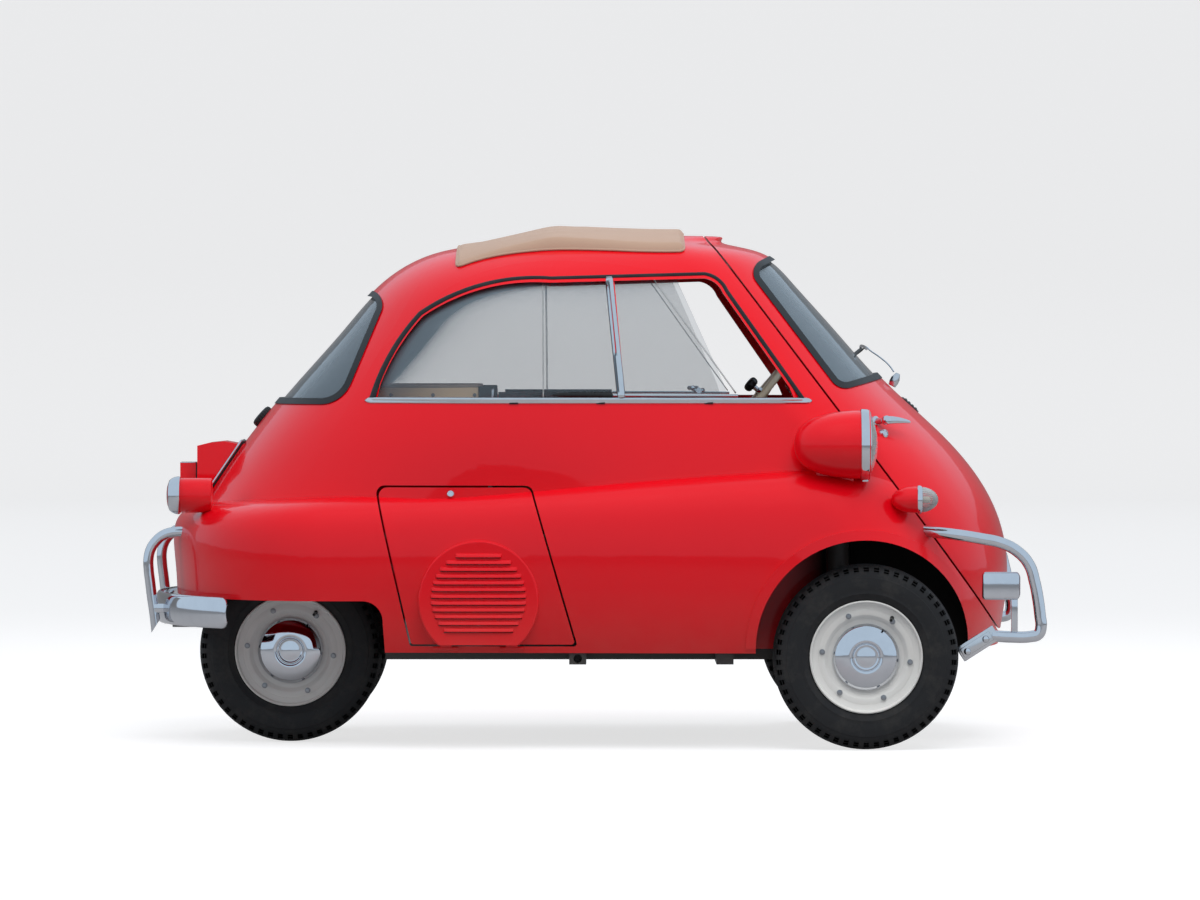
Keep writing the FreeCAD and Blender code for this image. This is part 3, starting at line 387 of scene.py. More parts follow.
def soft_black(name, colour, worn, roughness, grain, depth):
    """Rubber or plastic: near black with greyer worn places."""
    made = Finish(name, Specular_IOR_Level=0.25)
    patch = ((made.noise(18, 6, 0.68) - 0.48) * 3.4).as_share()
    made.set("Base Color", made.mix(patch, colour, worn))
    made.set("Roughness", patch * 0.12 + roughness)
    made.bump(made.noise(grain, 3, 0.6), depth, 0.5)
    return made.material


tyre_rubber = soft_black("tyre_rubber", (0.017, 0.017, 0.018), (0.040, 0.038, 0.036), 0.62, 420, 0.0004)
seal_rubber = soft_black("seal_rubber", (0.011, 0.011, 0.012), (0.026, 0.026, 0.026), 0.42, 300, 0.0002)
black_plastic = soft_black("black_plastic", (0.014, 0.014, 0.015), (0.024, 0.024, 0.024), 0.26, 500, 0.0001)
mat_rubber = soft_black("mat_rubber", (0.050, 0.048, 0.046), (0.095, 0.090, 0.083), 0.68, 160, 0.0008)
print("black finishes:", 4)

# %% [markdown]
# ## Window and lamp glass
# Glass is nearly invisible face on and mirrors the sky at a slant. Fresnel gives just that: it is
# near zero straight on and rises to one at the edge. Used as the Alpha of a dark glossy skin, it
# makes a pane that shows the cabin, darkens it a little, and catches light where it curves away.
# The pale base colour seen there is partly the glass's tint and partly a painted sky reflection.

# %% Clear glass


def clear(name, colour, bends, noise, alpha, most, rough, coat_rough):
    """A see-through skin; alpha holds the shares of slant and film and the least alpha. Its base colour is
    partly tint and partly a painted sky reflection, which shows more at a slant.
    """
    made = Finish(name, Base_Color=colour, Coat_Weight=1, Coat_Roughness=coat_rough)
    slant, film = made.node("ShaderNodeFresnel", {}, {"IOR": bends}), made.noise(*noise)
    made.set("Alpha", (slant * alpha[0] + film * alpha[1] + alpha[2]).at_most(most))
    made.set("Roughness", film * rough[0] + rough[1])
    made.material.surface_render_method = "BLENDED"
    return made.material


# both base colours are partly the glass's own tint and partly a painted sky reflection
glass_clear = clear("glass_clear", (0.20, 0.26, 0.31), 1.45, (2, 1, 0.4), (1.4, 0.03, 0.10), 0.92,
                    (0.03, 0.01), 0.01)
lamp_glass = clear("lamp_glass", (0.55, 0.57, 0.58), 1.5, (30, 2), (1.6, 0.08, 0.20), 0.95,
                   (0.05, 0.05), 0.02)
print("glass:", glass_clear.name, lamp_glass.name)

# %% [markdown]
# ## Woven cloth
# The folding roof is a beige hood cloth, a plain weave of thick threads. Two sine waves at right
# angles give the over and under of a plain weave, and their product is the height of the cloth.

# %% Cloth for the roof, the tray and the seat


def woven(name, pale, dark, threads):
    """A plain weave with so many threads per metre along X and along Y."""
    made = Finish(name, Sheen_Weight=0.25, Sheen_Roughness=0.5)
    turn = threads * math.pi
    weave = (made.axis("X") * turn).sine() * (made.axis("Y") * turn).sine() * 0.5 + 0.5
    cloth = made.mix(made.noise(3.5, 5, 0.6), dark, pale)
    made.set("Base Color", made.mix(weave * 0.45, cloth, tuple(c * 0.62 for c in dark)))
    made.set("Roughness", weave * 0.08 + 0.84)
    made.bump(weave + made.noise(900, 2) * 0.5, 0.0004, 0.6)
    return made.material


hood_cloth = woven("hood_cloth", (0.560, 0.385, 0.290), (0.470, 0.310, 0.225), 620)
seat_weave = woven("seat_weave", (0.420, 0.330, 0.215), (0.330, 0.245, 0.150), 420)
# the tray cloth is painted lighter than its own cream, as painted sunlight on it in the shaded cabin
tray_cream_and_painted_light = woven("tray_cream_and_painted_light", (0.960, 0.780, 0.560), (0.880, 0.660, 0.430), 420)
roll_brown = woven("roll_brown", (0.420, 0.350, 0.310), (0.330, 0.270, 0.235), 520)
print("finishes ready:", len(bpy.data.materials))

# %% [markdown]
# ## Dress the CAD pieces
# Pieces whose CAD shape is already right keep it, and only get their finish. The table pairs each
# finish with the nodes that wear it.

# %% Put the finishes on the CAD nodes
WEARS = {
    body_red: "side_panel_left side_panel_right roof_panel tail_panel engine_panel front_door "
    "headlamp_pods turn_lamps plate_housing",
    seal_rubber: "windscreen_seal rear_window_seal",
    glass_clear: "windscreen_glass rear_window_glass",
    chassis_black: "front_axle_beam knuckle_left knuckle_right rear_axle_case chassis_frame",
    steel: "rear_axle_shaft silencer pedals",
    cast_alloy: "engine_block",
    mat_rubber: "cabin_floor",
    cabin_grey: "rear_shelf seat_box steering_column",
    ivory_and_painted_light: "steering_wheel gear_lever",
    wheel_white: "front_wheel_left front_wheel_right rear_wheel_left rear_wheel_right",
    chrome: "front_hubcap_left front_hubcap_right rear_hubcap_left rear_hubcap_right front_bumpers "
    "rear_bumper door_handle wiper",
    tyre_rubber: "front_tyre_left front_tyre_right rear_tyre_left rear_tyre_right",
    hood_cloth: "fabric_roof parcel_tray",
    seat_weave: "seat_cushion seat_back",
    lamp_glass: "headlamp_lenses",
    red_lens: "tail_lamps",
    black_plastic: "filler_cap",
}
dressed = 0
for finish, names in WEARS.items():
    for name in names.split():
        for spot in nodes[name].material_slots:
            spot.link = "OBJECT"
            spot.material = finish
            dressed += 1
print("slots dressed:", dressed)

# %% [markdown]
# ## Turned pieces
# Tyres, rims, caps, lamps and bolts are all round about one line. Each starts as half of its section,
# a row of edges, and the spin operator carries that row once round the line and joins the ends. The
# section is written in millimetres, as pairs: how far along the line, and how far out from it.

# %% A helper that turns a section about a line
ACROSS, AHEAD = (0, 1, 0), (1, 0, 0)
SIDES = (("right", -1), ("left", 1))
MM = 0.001


def turned(section, centre, axis, steps=48, closed=False, side=1, unit=MM):
    """Spins a section of (along, out) about an axis through the centre."""
    shape = bmesh.new()
    axis, centre = Vector(axis).normalized(), Vector(centre)
    outward = axis.orthogonal().normalized()
    row = [centre + axis * (side * along * unit) + outward * (out * unit) for along, out in section]
    joined_edges(shape, row, closed)
    ring = shape.verts[:] + shape.edges[:]
    bmesh.ops.spin(shape, geom=ring, cent=centre, axis=axis, angle=math.tau, steps=steps, use_merge=True)
    bmesh.ops.remove_doubles(shape, verts=shape.verts[:], dist=1e-6)
    flat = [f for f in shape.faces if f.calc_area() < 1e-12]
    bmesh.ops.delete(shape, geom=flat, context="FACES_ONLY")
    return facing_out(shape)


def merged(shapes):
    """Several bmeshes put into the first one."""
    first = shapes[0]
    for extra in shapes[1:]:
        mesh = bpy.data.meshes.new("part_of_piece")
        extra.to_mesh(mesh)
        extra.free()
        first.from_mesh(mesh)
        bpy.data.meshes.remove(mesh)
    return first


# %% Hand a piece over: its finish, its body and its CAD node
SLOTS = {
    "body_red": "body_paint", "wheel_white": "wheel_paint", "bright_trim": "chrome", "tyre_rubber": "tyre",
    "glass_clear": "window_glass", "ivory_plastic": "cream_plastic", "seat_weave": "seat_cloth",
    "hood_cloth": "cloth", "tray_cream_and_painted_light": "cloth", "roll_brown": "cloth", "seat_piping": "cloth",
}


def hand_over(made, finish, angle=50, slot=None, node=None, body="body"):
    """Dresses a piece; of a pair, the right one takes the place of the CAD node."""
    made.data.materials.clear()
    made.data.materials.append(finish)
    made.data.shade_smooth()
    if angle:
        made.data.set_sharp_from_angle(angle=math.radians(angle))
    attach(made, body)
    plain_name = finish.name.split(".")[0]
    slot or SLOTS.get(plain_name, plain_name)
    if node and not made.name.endswith("_left"):
        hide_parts(node)
    return made


def piece(name, shape, finish, angle=50, wall=0, wall_side=-1, **rest):
    """A bmesh made into a finished piece; a sheet gets a wall of real thickness."""
    made = mesh_object(name, shape)
    if wall:
        solid = made.modifiers.new("wall", "SOLIDIFY")
        solid.thickness, solid.offset = wall, wall_side
    return hand_over(made, finish, angle, **rest)


def middle_of(name):
    """The middle of a CAD node."""
    low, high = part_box(name)
    return (Vector(low) + Vector(high)) / 2


for name in ("front_tyre_right", "rear_tyre_right", "front_hubcap_right"):
    print(name, [round(v, 4) for v in middle_of(name)])

# %% [markdown]
# ## Tyres
# A narrow ten-inch crossply has a rounded crown with thin zigzag ribs, and short lugs that run over
# the shoulder. The ribs come from a section with grooves whose edges step from side to side as the
# spin goes round. The lugs are faces of the shoulder, every other one pushed in.

# %% Tyre section
# one half, from the crown to the bead
TYRE_HALF = [
    (0, 240), (4.5, 239.9), (6, 233.5), (9.5, 233.4), (11, 239.4), (20, 238.6), (21.5, 232.4), (25, 232),
    (26.5, 237.4), (35, 235), (43, 231), (48.5, 225), (52.5, 216.5), (53.5, 214), (55, 208), (55.4, 206),
    (56.6, 205), (57.4, 196), (57.8, 186), (57, 175), (55.2, 166), (55.8, 164.5), (54.6, 163),
    (51.5, 156), (47.5, 150.5), (47, 148.5), (44.5, 147.4), (39, 145), (35.5, 131),
]
TYRE_STEPS = 108
ZIGZAG, ZIGZAG_OUTSIDE = 0.0016, 0.231
GROOVE_FROM, GROOVE_TO = 0.005, 0.027
LUG_FROM, LUG_TO, LUG_BESIDE = 0.216, 0.233, 0.034
LUG_DEEP = 0.0042


def tyre(name, node, body):
    """A tyre with ribs and shoulder lugs, about a node's centre."""
    centre = middle_of(node)
    section = [(-a, r) for a, r in reversed(TYRE_HALF)] + TYRE_HALF[1:]
    shape = turned(section, centre, ACROSS, TYRE_STEPS, closed=True)

    def around(spot):
        """How far out a spot lies, and how many steps round."""
        x, z = spot.x - centre.x, spot.z - centre.z
        return math.hypot(x, z), math.atan2(z, x) * TYRE_STEPS / math.tau + 0.25

    for v in shape.verts:
        out, steps = around(v.co)
        if out > ZIGZAG_OUTSIDE and GROOVE_FROM < abs(v.co.y - centre.y) < GROOVE_TO:
            v.co.y += ZIGZAG * (1 if round(steps) % 2 else -1)
    lugs = []
    for f in shape.faces:
        middle = f.calc_center_median()
        out, steps = around(middle)
        beside = abs(middle.y - centre.y) > LUG_BESIDE
        if beside and LUG_FROM < out < LUG_TO and math.floor(steps) % 2:
            lugs.append(f)
    for f in bmesh.ops.extrude_discrete_faces(shape, faces=lugs)["faces"]:
        middle = f.calc_center_median() - centre
        inward = Vector((middle.x, 0, middle.z)).normalized() * -LUG_DEEP
        bmesh.ops.translate(shape, verts=f.verts[:], vec=inward)
    return piece(name, shape, tyre_rubber, 40, node=node, body=body)


WHEEL_PLACES = [
    ("front", "right", "front_wheel_right", -1), ("front", "left", "front_wheel_left", 1),
    ("rear", "right", "rear_axle", -1), ("rear", "left", "rear_axle", 1),
]
for end, hand, body, side in WHEEL_PLACES:
    made = tyre(f"{end}_{hand}_tyre_tread", f"{end}_tyre_{hand}", body)
print("faces on one tyre:", len(made.data.polygons))

# %% [markdown]
# ## Wheels
# A pressed steel wheel, painted white: a rolled lip, a groove behind it, a broad flat ring that
# carries six bolts, and a cone that steps down to the cap. The chrome cap is a dome with a raised
# ring round a small plain disc. The valve is a short black stem in the ring.

# %% Wheel, bolts, cap and valve
RIM_FACE = [
    (-43, 120), (-50, 136), (-50.5, 144), (-45, 146), (-41, 143), (-37, 124), (0, 119), (37, 124),
    (41, 143), (44.5, 146.2), (48.5, 145.6), (50, 143), (49, 140.6), (45.5, 139.4), (38, 137),
    (34.5, 134.4), (34, 131.5), (35.6, 128.8), (36.2, 125), (36, 110), (34.4, 107), (27, 100), (25, 97),
    (24.6, 60), (24.6, 20), (18, 20), (18, 96), (26, 106), (10, 112), (-20, 114),
]
CAP_DOME = [
    (25, 84.5), (30.5, 86), (33, 85.6), (34.6, 83.4), (37.5, 80.6), (42, 74.5), (46.5, 66), (49.8, 56),
    (51.6, 46), (52.2, 41.5), (51.2, 38.4), (49, 36.6), (48.8, 35.2), (50.6, 34.4), (52.4, 33.4),
    (53.2, 31.8), (52.6, 30.2), (50.6, 29.2), (50.2, 27.4), (51.2, 22), (52.4, 14), (53, 6), (53.1, 0),
]
BOLT_HEAD = [(0, 7.5), (1.4, 7.5), (1.6, 5.8), (5, 5.8), (6.4, 4.4), (6.8, 0)]
VALVE_STEM = [(0, 5.5), (4, 5), (6, 3.6), (20, 3.2), (20.5, 4), (27, 4), (28, 0)]
BOLT_CIRCLE, BOLT_ANGLE, BOLT_COUNT = 0.114, 6.6, 6
VALVE_LEAN, VALVE_CIRCLE = Vector((0.55, 0, 0.83)).normalized(), 0.121
RING_AT = 0.036

for end, hand, body, side in WHEEL_PLACES:
    place = end + "_" + hand
    centre = middle_of(f"{end}_tyre_{hand}")
    ring = centre + Vector(ACROSS) * side * RING_AT
    rim = turned(RIM_FACE, centre, ACROSS, 96, True, side)
    piece(place + "_rim", rim, wheel_white, node=f"{end}_wheel_{hand}", body=body)
    bolts = []
    for step in range(BOLT_COUNT):
        angle = math.tau * step / BOLT_COUNT - math.radians(BOLT_ANGLE)
        spot = ring + Vector((math.cos(angle), 0, math.sin(angle))) * BOLT_CIRCLE
        bolts.append(turned(BOLT_HEAD, spot, ACROSS, 12, side=side))
    piece(place + "_bolts", merged(bolts), steel, 25, body=body)
    cap = turned(CAP_DOME, centre, ACROSS, 96, side=side)
    piece(place + "_cap", cap, chrome, 60, node=f"{end}_hubcap_{hand}", body=body)
    valve = turned(VALVE_STEM, ring + VALVE_LEAN * VALVE_CIRCLE, (-0.15, side, -0.2), 16)
    piece(place + "_valve", valve, black_plastic, 30, body=body)
print("wheels built:", len(WHEEL_PLACES))

# %% [markdown]
# ## Trim that follows the body
# Strips, lips and wipers lie on a curved shell, so their height comes from the shell itself. A search
# tree over the CAD panels tells where a level ray from the side meets the skin. A flat grid is then
# laid along a path and each of its points is set down on the skin, a little proud of it.

# %% Helpers that lay a grid on the skin


def skin_of(*things):
    """A search tree over some CAD nodes or finished pieces."""
    shape = bmesh.new()
    for thing in things:
        shape.from_mesh((nodes[thing] if isinstance(thing, str) else thing).data)
    tree = BVHTree.FromBMesh(shape)
    shape.free()
    return tree


def side_depth(tree, x, z, side):
    """Y of the outer skin at X and Z, seen from the car's side."""
    hit = tree.ray_cast(Vector((x, side * 2, z)), Vector((0, -side, 0)))[0]
    return None if hit is None else hit.y


def laid_grid(across, along, place):
    """A grid whose points are put by place(u, v), both from 0 to 1."""
    shape = bmesh.new()
    bmesh.ops.create_grid(shape, x_segments=across, y_segments=along, size=0.5)
    for v in shape.verts:
        v.co = place(v.co.x + 0.5, v.co.y + 0.5)
    return facing_out(shape)


def path_point(points, share):
    """A point and its direction at a share of a path's length."""
    spans = [(b - a).length for a, b in zip(points, points[1:])]
    left = share * sum(spans)
    for a, b, span in zip(points, points[1:], spans):
        if left <= span or b is points[-1]:
            return a.lerp(b, min(left / span, 1)), (b - a).normalized()
        left -= span


SUNK = 0.0012


def side_strip(tree, points, side, width, proud, steps, taper=0, shift=0):
    """A half-round strip along points of (x, z) on the car's side; width(u) is its width."""
    points = [Vector(p) for p in points]
    last = 0

    def place(u, v):
        nonlocal last
        (x, z), ahead = path_point(points, u)
        half = 0.5 * width(u)
        if taper:
            half *= min(1, 0.15 + 0.85 * math.sqrt(max(min(u, 1 - u) / taper, 0)))
        angle = math.pi * v
        bow = math.cos(angle) + shift
        x, z = x - ahead.y * half * bow, z + ahead.x * half * bow
        found = side_depth(tree, x, z, side)
        last = last if found is None else found
        return Vector((x, last + side * (proud * math.sin(angle) - SUNK), z))

    return laid_grid(steps, 8, place)


BODY_SIDE = ("side_panel_right", "side_panel_left", "roof_panel", "side_window_frames")
body_skin = skin_of(*BODY_SIDE)
print("skin at the sill:", round(side_depth(body_skin, 0, 0.895, -1), 4))

# %% [markdown]
# ## Window trim
# A bright strip with pointed ends covers the joint under each side window. A bright post divides the
# window, the rear pane slides behind it and shows a pale ground edge, and the front pane's leaning
# edge does too. A small winged knob locks the sliding pane. The CAD panes end a little above the
# strip, so a copy of them is drawn down until its lower edge hides behind it.

# %% Frames and panes whose lower edge hides behind the sill strip
# height on the CAD piece, height here; what lies outside stays
SLIDES = [(0.902, 0.902), (0.918, 0.906), (0.935, 0.935)]


def to_the_sill(z):
    """The new height of a point of a frame or pane."""
    for (low, low_to), (high, high_to) in zip(SLIDES, SLIDES[1:]):
        if low <= z < high:
            return low_to + (z - low) * (high_to - low_to) / (high - low)
    return z


for name, node, finish in (("window_frames", "side_window_frames", body_red),
                           ("window_panes", "side_windows", glass_clear)):
    shape = bmesh.new()
    shape.from_mesh(nodes[node].data)
    for v in shape.verts:
        v.co.z = to_the_sill(v.co.z)
    piece(name, shape, finish, 32, node=node)
print("heights slid:", SLIDES)

# %% Black seals round the side windows


def arc_points(first, middle, last, steps=24):
    """Points on the arc of a circle through three points."""
    a, m, b = (Vector(p) for p in (first, middle, last))
    twice = 2 * (a.x * (m.y - b.y) + m.x * (b.y - a.y) + b.x * (a.y - m.y))
    squares = [p.length_squared for p in (a, m, b)]
    x = squares[0] * (m.y - b.y) + squares[1] * (b.y - a.y) + squares[2] * (a.y - m.y)
    y = squares[0] * (b.x - m.x) + squares[1] * (a.x - b.x) + squares[2] * (m.x - a.x)
    hub = Vector((x, y)) / twice
    angles = [math.atan2(p.y - hub.y, p.x - hub.x) for p in (a, m, b)]
    turn = (angles[2] - angles[0]) % math.tau
    if (angles[1] - angles[0]) % math.tau > turn:
        turn -= math.tau
    reach = (a - hub).length
    along = [angles[0] + turn * k / steps for k in range(steps + 1)]
    return [hub + reach * Vector((math.cos(angle), math.sin(angle))) for angle in along]


SEAL_LINE = [(-0.583, 0.907)]
SEAL_LINE += arc_points((-0.583, 0.902), (-0.534, 1.022), (-0.455, 1.131))[1:]
SEAL_LINE += arc_points((-0.455, 1.131), (-0.300, 1.203), (-0.110, 1.222))[1:]
SEAL_LINE += arc_points((0.290, 1.234), (0.330, 1.217), (0.352, 1.187), 12)
SEAL_LINE += [(0.5475, 0.907)]


def seal_width(u):
    """Broad up the rear edge, narrow along the top, a little broader down the front."""
    return 0.0080 + 0.0065 * max(1 - u / 0.42, 0) + 0.0020 * min(max(u - 0.70, 0) / 0.1, 1)


opening_skin = skin_of(*BODY_SIDE, "side_windows")
for hand, side in SIDES:
    seal = side_strip(opening_skin, SEAL_LINE, side, seal_width, 0.0034, 240, shift=-1)
    piece("window_seal_" + hand, seal, seal_rubber, 60, wall=0.0008)
print("seal points:", len(SEAL_LINE))

# %% Sill strips, window posts and pane edges
glass_skin = skin_of("side_windows", "side_window_frames")
# piece, skin, from, to, width, height, taper, steps, finish, slot, wall
STRIPS = [
    ("sill_strip_", body_skin, (-0.5935, 0.9005), (0.567, 0.8995), 0.0155, 0.0056, 0.010, 160,
     bright_trim, "chrome", 0.0008),
    ("window_post_", glass_skin, (0.041, 1.2225), (0.0733, 0.908), 0.0190, 0.0050, 0, 32,
     bright_trim, "chrome", 0.0008),
    ("pane_edge_", glass_skin, (-0.131, 1.218), (-0.129, 0.909), 0.0036, 0.0016, 0, 24,
     lamp_glass, "window_glass", 0.0006),
    ("lean_edge_", glass_skin, (0.158, 1.214), (0.370, 0.919), 0.0030, 0.0016, 0, 24,
     lamp_glass, "window_glass", 0.0006),
]
for hand, side in SIDES:
    for name, skin, start, end, width, proud, taper, steps, finish, slot, wall in STRIPS:
        strip = side_strip(skin, [start, end], side, lambda u: width, proud, steps, taper)
        piece(name + hand, strip, finish, slot=slot, wall=wall)
print("strips per side:", len(STRIPS))

# %% Winged knobs that lock the sliding panes
KNOB_AT = (0.274, 0.926)
WING = [(0, 0), (0.0015, 4.6), (5.5, 6.2), (10.5, 4.2), (12, 0)]
KNOB_STEM = [(0, 0), (0, 7.6), (3, 7.8), (5, 4.2), (12, 4), (13, 7.4), (17, 6.8), (18, 0)]
for hand, side in SIDES:
    depth = side_depth(glass_skin, *KNOB_AT, side)
    foot = Vector((KNOB_AT[0], depth - side * 0.010, KNOB_AT[1]))
    bits = [turned(KNOB_STEM, foot, (0, -side, 0), 20)]
    for turn in (-1, 1):
        bits.append(turned(WING, foot + Vector((turn * 0.004, -side * 0.0125, 0)), (turn, 0, 0.12), 16))
    piece("pane_knob_" + hand, merged(bits), chrome)
print("knobs:", len(SIDES))

# %% [markdown]
# ## Lamps
# Each headlamp is a bullet pod in body colour with a broad chrome rim, a pressed reflector, a small
# bulb and a domed lens with upright flutes that spread the beam. The pod is a turned shell that lies
# on the CAD pod, so its gloss is as smooth as spun steel. The turn lamps are small red bullets on the
# wings, each with a chrome ring and a clear domed lens with fine ribs. The tail lamps are the same
# idea turned round and larger, with a red lens. Every part is turned about a level line along X.

# %% Sections of the lamps
POD_LINE = [
    (517.2, 0), (517.8, 9), (519.6, 19), (523.6, 30.5), (530.6, 42), (540.4, 52.2), (554, 61.8),
    (570, 69.9), (590, 76.8), (612, 81.9), (640, 85.9), (668, 87.9), (690.6, 88.2), (690.6, 80),
]
RIM_LINE = [
    (688, 84), (687.6, 89.6), (689.2, 91.6), (692, 92.3), (703, 91.9), (708, 90.9), (712.4, 88.4),
    (714.8, 84.8), (715.4, 81.6), (714.2, 79.4), (711, 78.8), (706, 79.4), (704, 84),
]
REFLECTOR = [
    (706, 79), (702, 76), (697.4, 66), (694.4, 52), (692.6, 36), (691.6, 20), (691.4, 9), (693, 8.6),
    (693, 0),
]
BULB = [(693, 0), (693, 5.2), (697, 6.4), (700.5, 9), (704.5, 9.6), (708.5, 7.2), (710.6, 0)]
LENS_OUT = [
    (705, 79.6), (710.5, 79.3), (713, 76), (717.6, 68), (722, 58), (726.4, 45), (729.8, 30), (731.8, 14),
    (732.3, 0),
]
LENS_IN = [
    (729.8, 0), (729.3, 14), (727.3, 30), (723.9, 45), (719.5, 58), (715.1, 68), (710.5, 76), (705, 76.6),
]
TURN_POD = [(768, 0), (771, 12), (780, 22), (794, 29), (812, 33), (838, 34.4), (838, 20)]
TURN_RING = [(836, 26), (835.6, 36), (838, 37.4), (843, 37), (847, 35.2), (848.4, 32.8), (846, 30)]
TURN_LENS = [
    (845, 31), (849, 32), (855, 31.6), (863, 29.6), (872, 25.6), (880, 20), (886, 13), (889.4, 5),
    (890, 0),
]
TURN_BULB = [(842, 0), (842, 7), (850, 8), (860, 9), (868, 7.6), (872, 0)]
TAIL_POD = [(-1000, 0), (-1000, 45), (-1040, 45.6), (-1082, 45.6), (-1084, 44), (-1084, 20)]
TAIL_RING = [
    (-1083, 44), (-1083, 48.4), (-1086, 49.8), (-1091, 49.6), (-1099, 47.6), (-1106, 44), (-1111, 39.6),
    (-1112.6, 36.6), (-1110, 35), (-1106, 35.6),
]
TAIL_LENS = [(-1106, 36.4), (-1111, 35.6), (-1114.4, 31), (-1116.6, 24), (-1118, 14), (-1118.4, 0)]
RIM_SCREW = [(-6, 0), (-6, 4.2), (7, 4.2), (9, 3), (9.4, 0)]
print("headlamp length in mm:", LENS_OUT[-1][0] - POD_LINE[0][0])

# %% Fluted and ribbed lenses
FLUTE_WIDTH, FLUTE_DEEP, FLUTED_TO = 0.0078, 0.0007, 0.072


def fluted(shape, y, z):
    """Presses upright flutes into the headlamp lens."""
    long = [e for e in shape.edges if e.calc_length() > 0.006]
    bmesh.ops.subdivide_edges(shape, edges=long, cuts=1)
    for v in shape.verts:
        if math.hypot(v.co.y - y, v.co.z - z) < FLUTED_TO:
            v.co.x += FLUTE_DEEP * math.cos(math.tau * (v.co.y - y) / FLUTE_WIDTH)
    return facing_out(shape)


def ribbed(count, deep):
    """A function that presses so many fine ribs into a lens, running out from its middle."""

    def press(shape, y, z):
        for v in shape.verts:
            out = Vector((0, v.co.y - y, v.co.z - z))
            if out.length > 0.004:
                v.co += out.normalized() * deep * math.cos(count * math.atan2(out.z, out.y))
        return shape

    return press


# %% Build the lamps
HEADLAMP_Y, HEADLAMP_Z = 0.624, 0.787
TURN_Y, TURN_Z = 0.612, 0.645
TAIL_Y, TAIL_Z = 0.350, 0.650
# Y, Z, then the parts: name, section, finish, steps, closed, the rest
LAMPS = [
    (HEADLAMP_Y, HEADLAMP_Z, [
        ("headlamp_shell_", POD_LINE, body_red, 96, False, {}),
        ("headlamp_rim_", RIM_LINE, chrome, 96, True, {}),
        ("reflector_", REFLECTOR, bright_trim, 96, False, {}),
        ("bulb_", BULB, lamp_glass, 24, False, {}),
        ("headlamp_lens_", LENS_OUT + LENS_IN, lamp_glass, 128, True,
         {"press": fluted, "node": "headlamp_lenses"}),
    ]),
    (TURN_Y, TURN_Z, [
        ("turn_pod_", TURN_POD, body_red, 64, False, {"node": "turn_lamps"}),
        ("turn_ring_", TURN_RING, chrome, 64, True, {}),
        ("turn_lens_", TURN_LENS, lamp_glass, 120, False,
         {"press": ribbed(30, 0.0005), "wall": 0.0018, "angle": 60}),
        ("turn_bulb_", TURN_BULB, ivory_and_painted_light, 20, False, {"angle": 32, "slot": "lamp_glass"}),
    ]),
    (TAIL_Y, TAIL_Z, [
        ("tail_pod_", TAIL_POD, body_red, 72, False, {"node": "tail_lamps"}),
        ("tail_ring_", TAIL_RING, chrome, 72, True, {}),
        ("tail_lens_", TAIL_LENS, red_lens, 144, False, {"press": ribbed(36, 0.0004), "angle": 60}),
    ]),
]
for hand, side in SIDES:
    for lamp_y, z, parts in LAMPS:
        y = side * lamp_y
        for name, section, finish, steps, closed, rest in parts:
            shape = turned(section, (0, y, z), AHEAD, steps, closed)
            press = rest.get("press")
            rest = {key: value for key, value in rest.items() if key != "press"}
            piece(name + hand, press(shape, y, z) if press else shape, finish, **rest)
    screw = turned(RIM_SCREW, (0.700, side * HEADLAMP_Y, HEADLAMP_Z - 0.0925), AHEAD, 16)
    piece("headlamp_screw_" + hand, screw, chrome, 40)
print("lamp parts per side:", 1 + sum(len(parts) for _, _, parts in LAMPS))

# %% [markdown]
# ## Folding roof
# A cloth closes the opening in the roof. It is one sheet of beige hood cloth. A bar holds its front
# edge, a bow lifts it behind the middle, and its edges are turned under and pulled tight. A flat grid
# is laid over the opening and its height rises quickly from the edge, so the edge is round and soft.
# The heights along the middle are the ones that the photograph shows.

# %% Smooth lines and the tubes along them


def on_line(line, x):
    """The value at x on a smooth line through (x, value) pairs."""
    last = len(line) - 1
    i = max(k for k in range(last) if k == 0 or line[k][0] <= x)

    def slope(k):
        a, b = line[max(k - 1, 0)], line[min(k + 1, last)]
        return (b[1] - a[1]) / (b[0] - a[0])

    (x0, y0), (x1, y1) = line[i], line[i + 1]
    t = min(max((x - x0) / (x1 - x0), 0), 1)
    bend = (t ** 3 - 2 * t * t + t) * slope(i) + (t ** 3 - t * t) * slope(i + 1)
    return y0 + (3 * t * t - 2 * t ** 3) * (y1 - y0) + bend * (x1 - x0)


def tube(points, radius, closed=False, steps=12, round_steps=4):
    """A round bar along a smooth line through the points."""
    line = bpy.data.curves.new("line", "CURVE")
    line.dimensions = "3D"
    line.bevel_depth = radius
    line.bevel_resolution = round_steps
    line.resolution_u = steps
    line.use_fill_caps = not closed
    run = line.splines.new("BEZIER")
    run.bezier_points.add(len(points) - 1)
    for knot, place in zip(run.bezier_points, points):
        knot.co = place
        knot.handle_left_type = knot.handle_right_type = "AUTO"
    run.use_cyclic_u = closed
    holder = bpy.data.objects.new("line", line)
    mesh = bpy.data.meshes.new_from_object(holder)
    bpy.data.objects.remove(holder)
    bpy.data.curves.remove(line)
    shape = bmesh.new()
    shape.from_mesh(mesh)
    bpy.data.meshes.remove(mesh)
    bmesh.ops.remove_doubles(shape, verts=shape.verts[:], dist=1e-6)
    return facing_out(shape)


# %% Lay the roof cloth
ROOF_REAR, ROOF_FRONT = -0.358, 0.237
CORNER, EDGE_ROUND, CLOTH_THICK = 0.014, 0.014, 0.0014
LEAST_LIFT, CLEAR_OF_ROOF = 0.006, 0.0012
# X, height of the cloth in the middle
CLOTH_TOP = [
    (-0.358, 1.308), (-0.31, 1.3155), (-0.269, 1.324), (-0.179, 1.344), (-0.125, 1.356), (-0.098, 1.359),
    (-0.072, 1.3585), (-0.009, 1.354), (0.071, 1.3505), (0.159, 1.348), (0.237, 1.3475),
]
